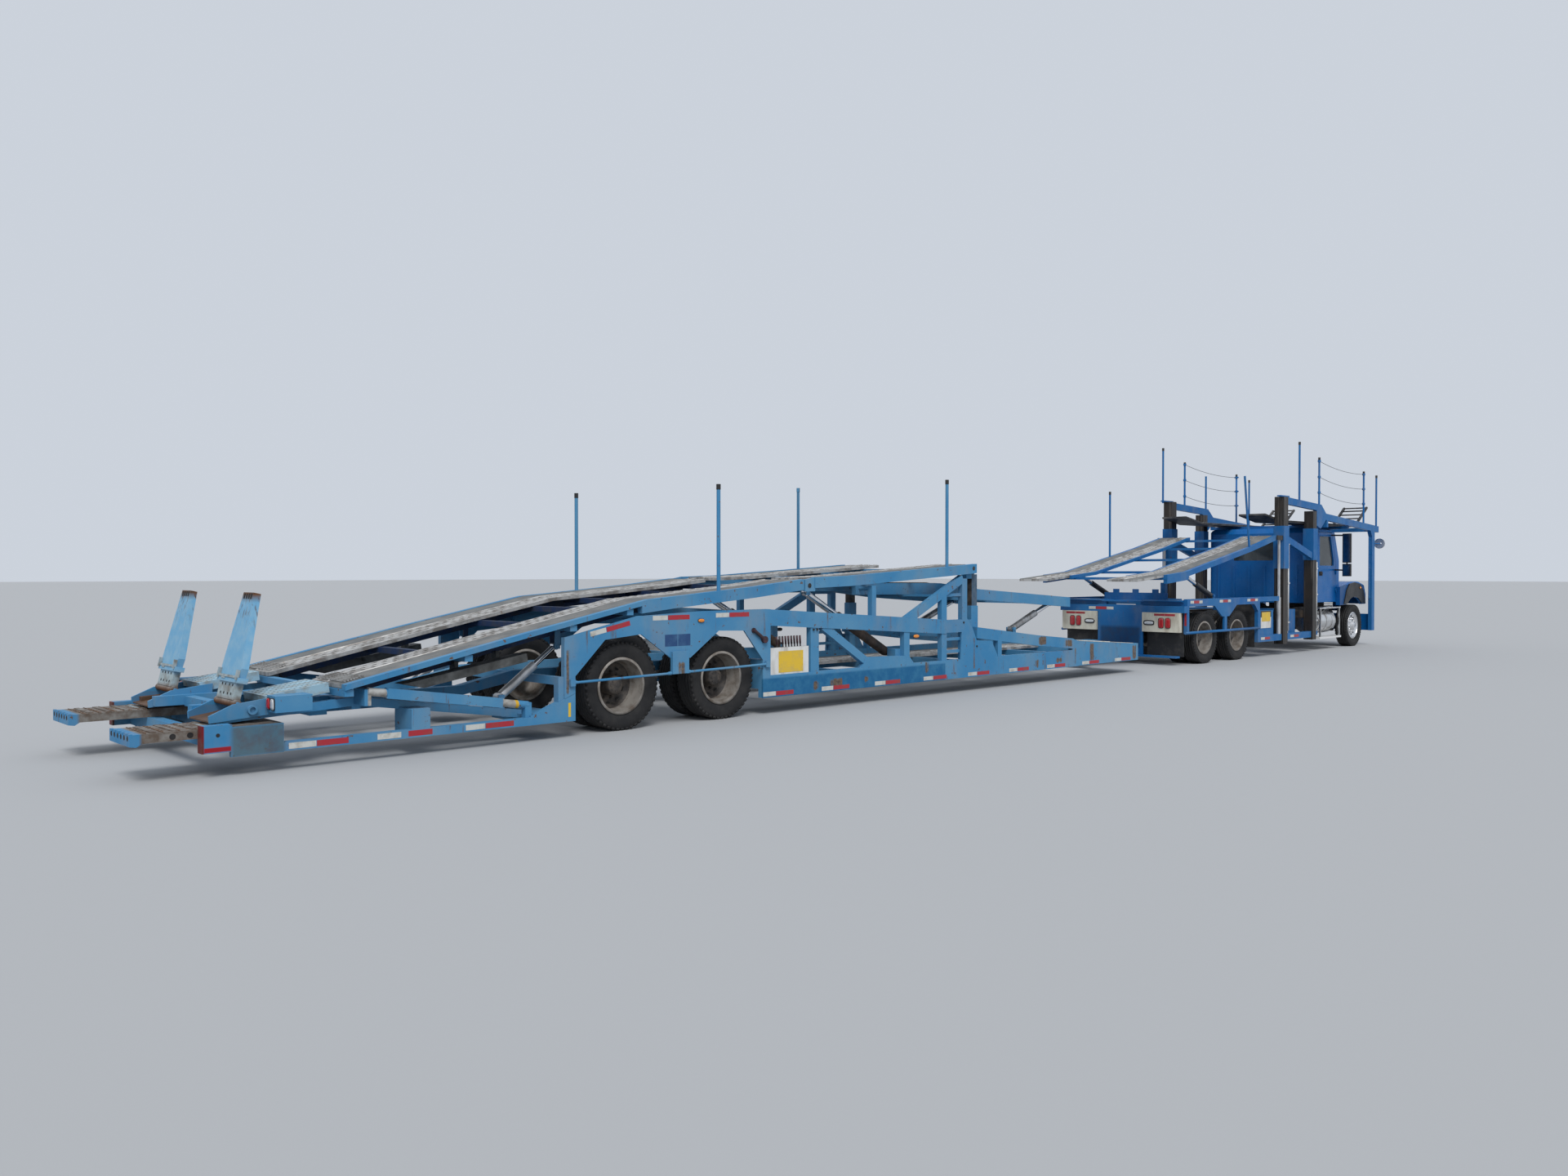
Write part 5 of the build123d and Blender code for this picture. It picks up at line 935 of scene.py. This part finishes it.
# Plates and decals: blank yellow plates on white boards, two dark blue squares on the wheel
# plate, mirror glass, and the door's black pull handle.
plate_yellow = worn_finish("blank_yellow_plate", (0.72, 0.47, 0.03), 0.45, 0.0, (9, 7),
                           [(0.45, (0.72, 0.47, 0.03)), (0.75, (0.52, 0.38, 0.12))])
decal_blue = worn_finish("dark_blue_decal", (0.010, 0.055, 0.165), 0.35, 0.0, (9, 7),
                         [(0.45, (0.010, 0.055, 0.165)), (0.75, (0.04, 0.12, 0.24))])
mirror_glass = worn_finish("mirror_glass", (0.20, 0.22, 0.24), 0.12, 1.0, (6, 4),
                           [(0.4, (0.16, 0.18, 0.20)), (0.8, (0.30, 0.32, 0.33))])
grip_red_black = worn_finish("worn_black_grip", (0.030, 0.016, 0.018), 0.5, 0.0, (30, 5),
                             [(0.40, (0.020, 0.016, 0.017)), (0.66, (0.075, 0.020, 0.028)),
                              (0.82, (0.16, 0.13, 0.12))])


def lay_sheet(bm, x, z, y, thick, finish=0):
    """A thin plate on a side face at y, standing out by its thickness."""
    side = math.copysign(1, y)
    lay_block(bm, x, sorted((y + side * PROUD, y + side * thick)), z, None, finish)


def smooth_sides(bm):
    """Round the sides of tubes and leave their ends flat."""
    for face in bm.faces:
        face.smooth = len(face.verts) == 4


signs = bmesh.new()
for s in (-1, 1):
    for x0 in (0.500, 0.679):
        lay_sheet(signs, (TRAILER_X + x0, TRAILER_X + x0 + 0.171), (0.855, 0.982), s * TRAILER_SIDE_Y, 0.001, 1)
    lay_sheet(signs, (TRAILER_X - 0.720, TRAILER_X - 0.690), (0.210, 0.350), s * TRAILER_SIDE_Y, 0.001, 0)
lay_sheet(signs, (TRAILER_X + 2.193, TRAILER_X + 2.596), (0.475, 0.725), -1.276, 0.002, 0)
for k in range(4):
    for x in (2.205, 2.584):
        lay_disc(signs, (TRAILER_X + x, -1.2782, 0.490 + 0.073 * k), (0, -1, 0), 0.006, 0.003, 8)
fit(signs, "trailer_plates", [plate_yellow, decal_blue], "trailer")
grips = bmesh.new()
for i in range(9):
    lay_disc(grips, (TRAILER_X + 2.1767 + 0.048 * i, -1.263, 0.805), (-0.010, 0, 0.135), 0.0125, 0.094, 14)
smooth_sides(grips)
fit(grips, "valve_lever_grips", grip_red_black, "trailer")
winch = bmesh.new()
side_studs(winch, ((1.780, 0.985),), 1.2905, 0.030, 0.018, 18)
side_studs(winch, ((1.940, 0.875),), 1.2905, 0.040, 0.038, 20)
for s in (-1, 1):
    lay_disc(winch, (TRAILER_X + 1.765, s * 1.3100, 0.995), (0.175, 0, -0.120), 0.020, 0.215, 14)
fit(winch, "winch_heads", grip_red_black, "trailer", bevel=0.002)
boards = bmesh.new()
for s in (-1, 1):
    lay_sheet(boards, (TRUCK_X + 4.160, TRUCK_X + 4.620), (0.560, 0.895), s * 1.230, 0.003, 1)
    lay_sheet(boards, (TRUCK_X + 4.200, TRUCK_X + 4.580), (0.690, 0.870), s * 1.2332, 0.002, 0)
fit(boards, "truck_plates", [plate_yellow, board_white], "truck")
for s, letter in ((-1, "r"), (1, "l")):
    fittings = bmesh.new()
    for z in ((1.870, 2.460), (1.580, 1.810)):
        lay_block(fittings, (TRUCK_X + 7.9478, TRUCK_X + 7.9498), pair(s, 1.345, 1.485), z)
    lay_block(fittings, (TRUCK_X + 7.400, TRUCK_X + 7.530), pair(s, 1.0602, 1.082), (1.600, 1.640), None, 1)
    lay_block(fittings, (TRUCK_X + 7.380, TRUCK_X + 7.560), pair(s, 1.0602, 1.066), (1.575, 1.665), None, 1)
    fit(fittings, "door_fittings_" + letter, [mirror_glass, hole_black], "door_" + letter)

# Tail ramp plates: folded steel plates, punched with rows of slots for grip, that carry a car's
# wheels from the flippers up to the tail deck. They are welded between the channels and arms.


def punch_slots(bm, at, along, rows, half, floor):
    """Slots with a raised lip on a sloping plate: points (x, z), its direction, rows of y, half sizes."""
    for x, z in at:
        for y in rows:
            press(bm, x, y, z, along, half, ((1.0, 0.0), (0.86, 0.003), (0.70, 0.0006)), floor)


pale_blue = repaint(trailer_enamel, "ramp_plate_faded_blue",
                    ((0.30, 0.46, 0.55), (0.26, 0.27, 0.25), dict(wide=(0.5, 1.07))))
RAMP_LOW, RAMP_HIGH = Vector((TRAILER_X - 3.580, 0, 0.612)), Vector((TRAILER_X - 3.035, 0, 0.688))
climb = (RAMP_HIGH - RAMP_LOW).normalized()
run = (RAMP_HIGH - RAMP_LOW).length
turn = Matrix.Translation(RAMP_LOW) @ Matrix.Rotation(-math.atan2(climb.z, climb.x), 4, "Y")
spots = [(RAMP_LOW.x + climb.x * d, RAMP_LOW.z + climb.z * d) for d in [0.035 + 0.0475 * k for k in range(11)]]
ramp_plates = bmesh.new()
for s in (-1, 1):
    lay_block(ramp_plates, (0, run), pair(s, 0.560, 1.057), (-0.010, 0), turn)
    for y0, y1 in ((0.560, 0.572), (1.045, 1.057)):
        lay_block(ramp_plates, (0.002, run - 0.002), pair(s, y0, y1), (-0.085, -0.0101), turn)
    lay_block(ramp_plates, (0.001, 0.013), pair(s, 0.573, 1.044), (-0.060, -0.0101), turn)
    rows = [s * (0.605 + 0.081 * k) for k in range(6)]
    punch_slots(ramp_plates, spots, (climb.x, climb.z), rows, (0.010, 0.030), 1)
fit(ramp_plates, "tail_ramp_plates", [pale_blue, hole_black], "trailer")
end_ribs = bmesh.new()
for s in (-1, 1):
    for k in range(7):
        x = -2.940 + 0.028 * k
        z = 0.681 + (x + 2.955) * math.tan(math.radians(12.0)) + 0.010
        lay_block(end_ribs, (TRAILER_X + x, TRAILER_X + x + 0.009), pair(s, 0.560, 1.170), (z, z + 0.010))
fit(end_ribs, "deck_end_ribs", trodden_zinc, "tail_deck")

# Flipper and skid fittings: rusty teeth at the flippers' tips, a locking bar through each one with
# a bent handle, and slotted ribs and drilled lips on the skids.
rust_brown = worn_finish("bare_rusty_steel", (0.16, 0.085, 0.045), 0.85, 0.0, (26, 8),
                         [(0.32, (0.060, 0.036, 0.024)), (0.56, (0.15, 0.085, 0.048)), (0.76, (0.24, 0.20, 0.16))],
                         relief=((60, 6), 0.5, 0.002))
pale_steel = worn_finish("pale_worn_steel", (0.36, 0.42, 0.43), 0.6, 0.2, (15, 7),
                         [(0.40, (0.36, 0.43, 0.45)), (0.62, (0.24, 0.25, 0.24)), (0.78, (0.15, 0.10, 0.07))])
HINGE = Vector((TRAILER_X - 3.790, 0, 0.560))
up = Matrix.Rotation(math.radians(13), 4, "Y")
for s, letter in ((-1, "r"), (1, "l")):
    tips = bmesh.new()
    turn = Matrix.Translation(HINGE + Vector((0, s * 0.800, 0))) @ up
    for k in range(4):
        y = -0.078 + 0.052 * k
        lay_block(tips, (-0.0325, -0.0302), (y - 0.014, y + 0.014), (0.880, 0.925), turn, 2)
    for y in (-0.120, -0.045, 0.045, 0.120):
        for z in (0.070, 0.145):
            at = turn @ Vector((-0.0302, y, z))
            lay_disc(tips, at, turn.to_3x3() @ Vector((-1, 0, 0)), 0.012, 0.0012, 12, 2)
    # the locking bar, its two ends and the handle's root
    for back, y, z in ((-0.050, (-0.225, 0.225), (0.205, 0.225)), (-0.060, (-0.222, -0.205), (0.190, 0.275)),
                       (-0.060, (0.205, 0.222), (0.190, 0.275)), (-0.048, (0.060, 0.140), (0.1900, 0.2049))):
        lay_block(tips, (back, -0.0305), y, z, turn, 1)
    fit(tips, "flipper_fittings_" + letter, [rust_brown, pale_steel, hole_black], "flipper_" + letter)
skid_parts = bmesh.new()
for s in (-1, 1):
    rows = [s * (0.680 + 0.0755 * k) for k in range(6)]
    spots = [(TRAILER_X - 4.500 + 0.062 * k, 0.3922) for k in range(9)]
    punch_slots(skid_parts, spots, (1, 0), rows, (0.009, 0.026), 2)
    for k in range(5):
        x = TRAILER_X - 4.525 + 0.124 * k
        lay_block(skid_parts, (x, x + 0.008), pair(s, 0.650, 1.160), (0.3925, 0.3975))
    for k in range(6):
        lay_disc(skid_parts, (TRAILER_X - 4.6399, s * (0.690 + 0.0865 * k), 0.362), (-1, 0, 0), 0.022, 0.00015, 16, 2)
    lay_block(skid_parts, (TRAILER_X - 4.060, TRAILER_X - 3.950), pair(s, 0.800, 1.060), (0.3925, 0.3975), None, 1)
side_studs(skid_parts, ((-4.330, 0.352), (-4.200, 0.352)), 1.1702, 0.024, 0.0008, 16, 2)
fit(skid_parts, "skid_fittings", [rust_brown, pale_steel, hole_black], "tail_skids")
corner_parts = bmesh.new()
side_studs(corner_parts, ((-4.030, 0.345),), TRAILER_SIDE_Y + PROUD, 0.016, 0.0008, 16)
fit(corner_parts, "corner_box_holes", hole_black, "trailer")
shelf_cream = worn_finish("nose_shelf_cream", (0.62, 0.60, 0.53), 0.5, 0.0, (7, 7),
                          [(0.40, (0.66, 0.64, 0.58)), (0.62, (0.50, 0.45, 0.36)), (0.78, (0.24, 0.16, 0.10))])
slope = Matrix.Translation((TRAILER_X + 8.620, 0, 0.587)) @ Matrix.Rotation(math.atan2(0.065, 1.0), 4, "Y")
shelf = bmesh.new()
for s in (-1, 1):
    lay_block(shelf, (0, 0.920), pair(s, 1.150, 1.289), (0, 0.014), slope)
    lay_block(shelf, (0.960, 1.640), pair(s, 1.180, 1.289), (0.001, 0.008), slope)
fit(shelf, "nose_shelves", shelf_cream, "trailer", bevel=0.002)

# Guard rails and pipes: a thick tube along the truck's drive wheels, clamps that hold the
# trailer's own rod, a white pipe up each rack column, and grab rungs behind the rack's front posts.
rail = bmesh.new()
for s in (-1, 1):
    lay_disc(rail, (TRUCK_X + 1.095, s * 1.247, 0.575), (1, 0, 0), 0.024, 2.960, 20)
smooth_sides(rail)
fit(rail, "carrier_guard_rails", truck_enamel, "truck")
clamps = bmesh.new()
for s in (-1, 1):
    for x, z in ((-0.645, 0.5483), (0.560, 0.5675), (0.820, 0.5717), (1.975, 0.5898)):
        lay_disc(clamps, (TRAILER_X + x - 0.020, s * 1.2965, z), (1, 0, 0.0159), 0.019, 0.040, 14)
    lay_block(clamps, (TRAILER_X + 0.600, TRAILER_X + 0.780), pair(s, 1.2905, 1.302), (0.610, 0.770))
    lay_block(clamps, (TRAILER_X + 0.585, TRAILER_X + 0.795), pair(s, 1.2905, 1.314), (0.7705, 0.785))
fit(clamps, "guard_rod_clamps", trailer_enamel, "trailer", bevel=0.002)
pipe_white = worn_finish("pipe_white", (0.62, 0.63, 0.63), 0.35, 0.0, (8, 7, (1, 1, 0.3)),
                         [(0.45, (0.62, 0.63, 0.63)), (0.75, (0.25, 0.22, 0.19))])
pipes = bmesh.new()
for s in (-1, 1):
    for x, low_z, high_z in ((5.345, 0.480, 2.350), (6.745, 0.480, 1.860)):
        lay_disc(pipes, (TRUCK_X + x, s * 1.250, low_z), (0, 0, 1), 0.030, high_z - low_z, 20)
        for z in (low_z + 0.15, (low_z + high_z) / 2, high_z - 0.15):
            lay_block(pipes, (TRUCK_X + x - 0.055, TRUCK_X + x + 0.033), pair(s, 1.217, 1.283), (z, z + 0.030))
for face in pipes.faces:
    face.smooth = len(face.verts) == 4 and face.calc_area() > 0.010
fit(pipes, "column_pipes", pipe_white, "truck")
rungs = bmesh.new()
for s in (-1, 1):
    lay_disc(rungs, (TRUCK_X + 9.735, s * 1.245, 1.050), (0, 0, 1), 0.013, 1.400, 12)
    for k in range(5):
        lay_disc(rungs, (TRUCK_X + 9.735, s * 1.245, 1.080 + 0.330 * k), (1, 0, 0), 0.011, 0.066, 10)
fit(rungs, "front_post_rungs", truck_enamel, "truck")

# Spare planks: two folded channels of dull zinc-coated steel, stowed under the tail deck's outer
# edges on brackets from its inner rails. They bridge the gap between decks when cars are loaded.
plank_zinc = worn_finish("spare_plank_dull_zinc", (0.075, 0.077, 0.072), 0.62, 0.3, (9, 8),
                         [(0.36, (0.050, 0.050, 0.047)), (0.54, (0.090, 0.092, 0.088)),
                          (0.74, (0.150, 0.152, 0.146))],
                         relief=((40, 5), 0.2, 0.0015))
PLANK_SIDE = ((-2.405, 0.640), (-2.206, 0.592), (-1.112, 0.777), (-1.124, 0.857))
planks = bmesh.new()
for s in (-1, 1):
    for y0, y1, outline in ((1.174, 1.180, PLANK_SIDE), (1.000, 1.006, PLANK_SIDE),
                            (1.0061, 1.1739, (PLANK_SIDE[0], (-2.395, 0.6355), (-1.1232, 0.851), PLANK_SIDE[3]))):
        near = [planks.verts.new((TRAILER_X + x, s * y0, z)) for x, z in outline]
        away = [planks.verts.new((TRAILER_X + x, s * y1, z)) for x, z in outline]
        planks.faces.new(near)
        planks.faces.new(away[::-1])
        for i in range(4):
            planks.faces.new((near[i], away[i], away[(i + 1) % 4], near[(i + 1) % 4]))
    for x, z in ((-1.800, 0.700), (-1.360, 0.780)):
        lay_block(planks, (TRAILER_X + x, TRAILER_X + x + 0.040), pair(s, 0.900, 0.9999), (z, z + 0.100))
fit(planks, "spare_planks", plank_zinc, "tail_deck", bevel=0.0015)
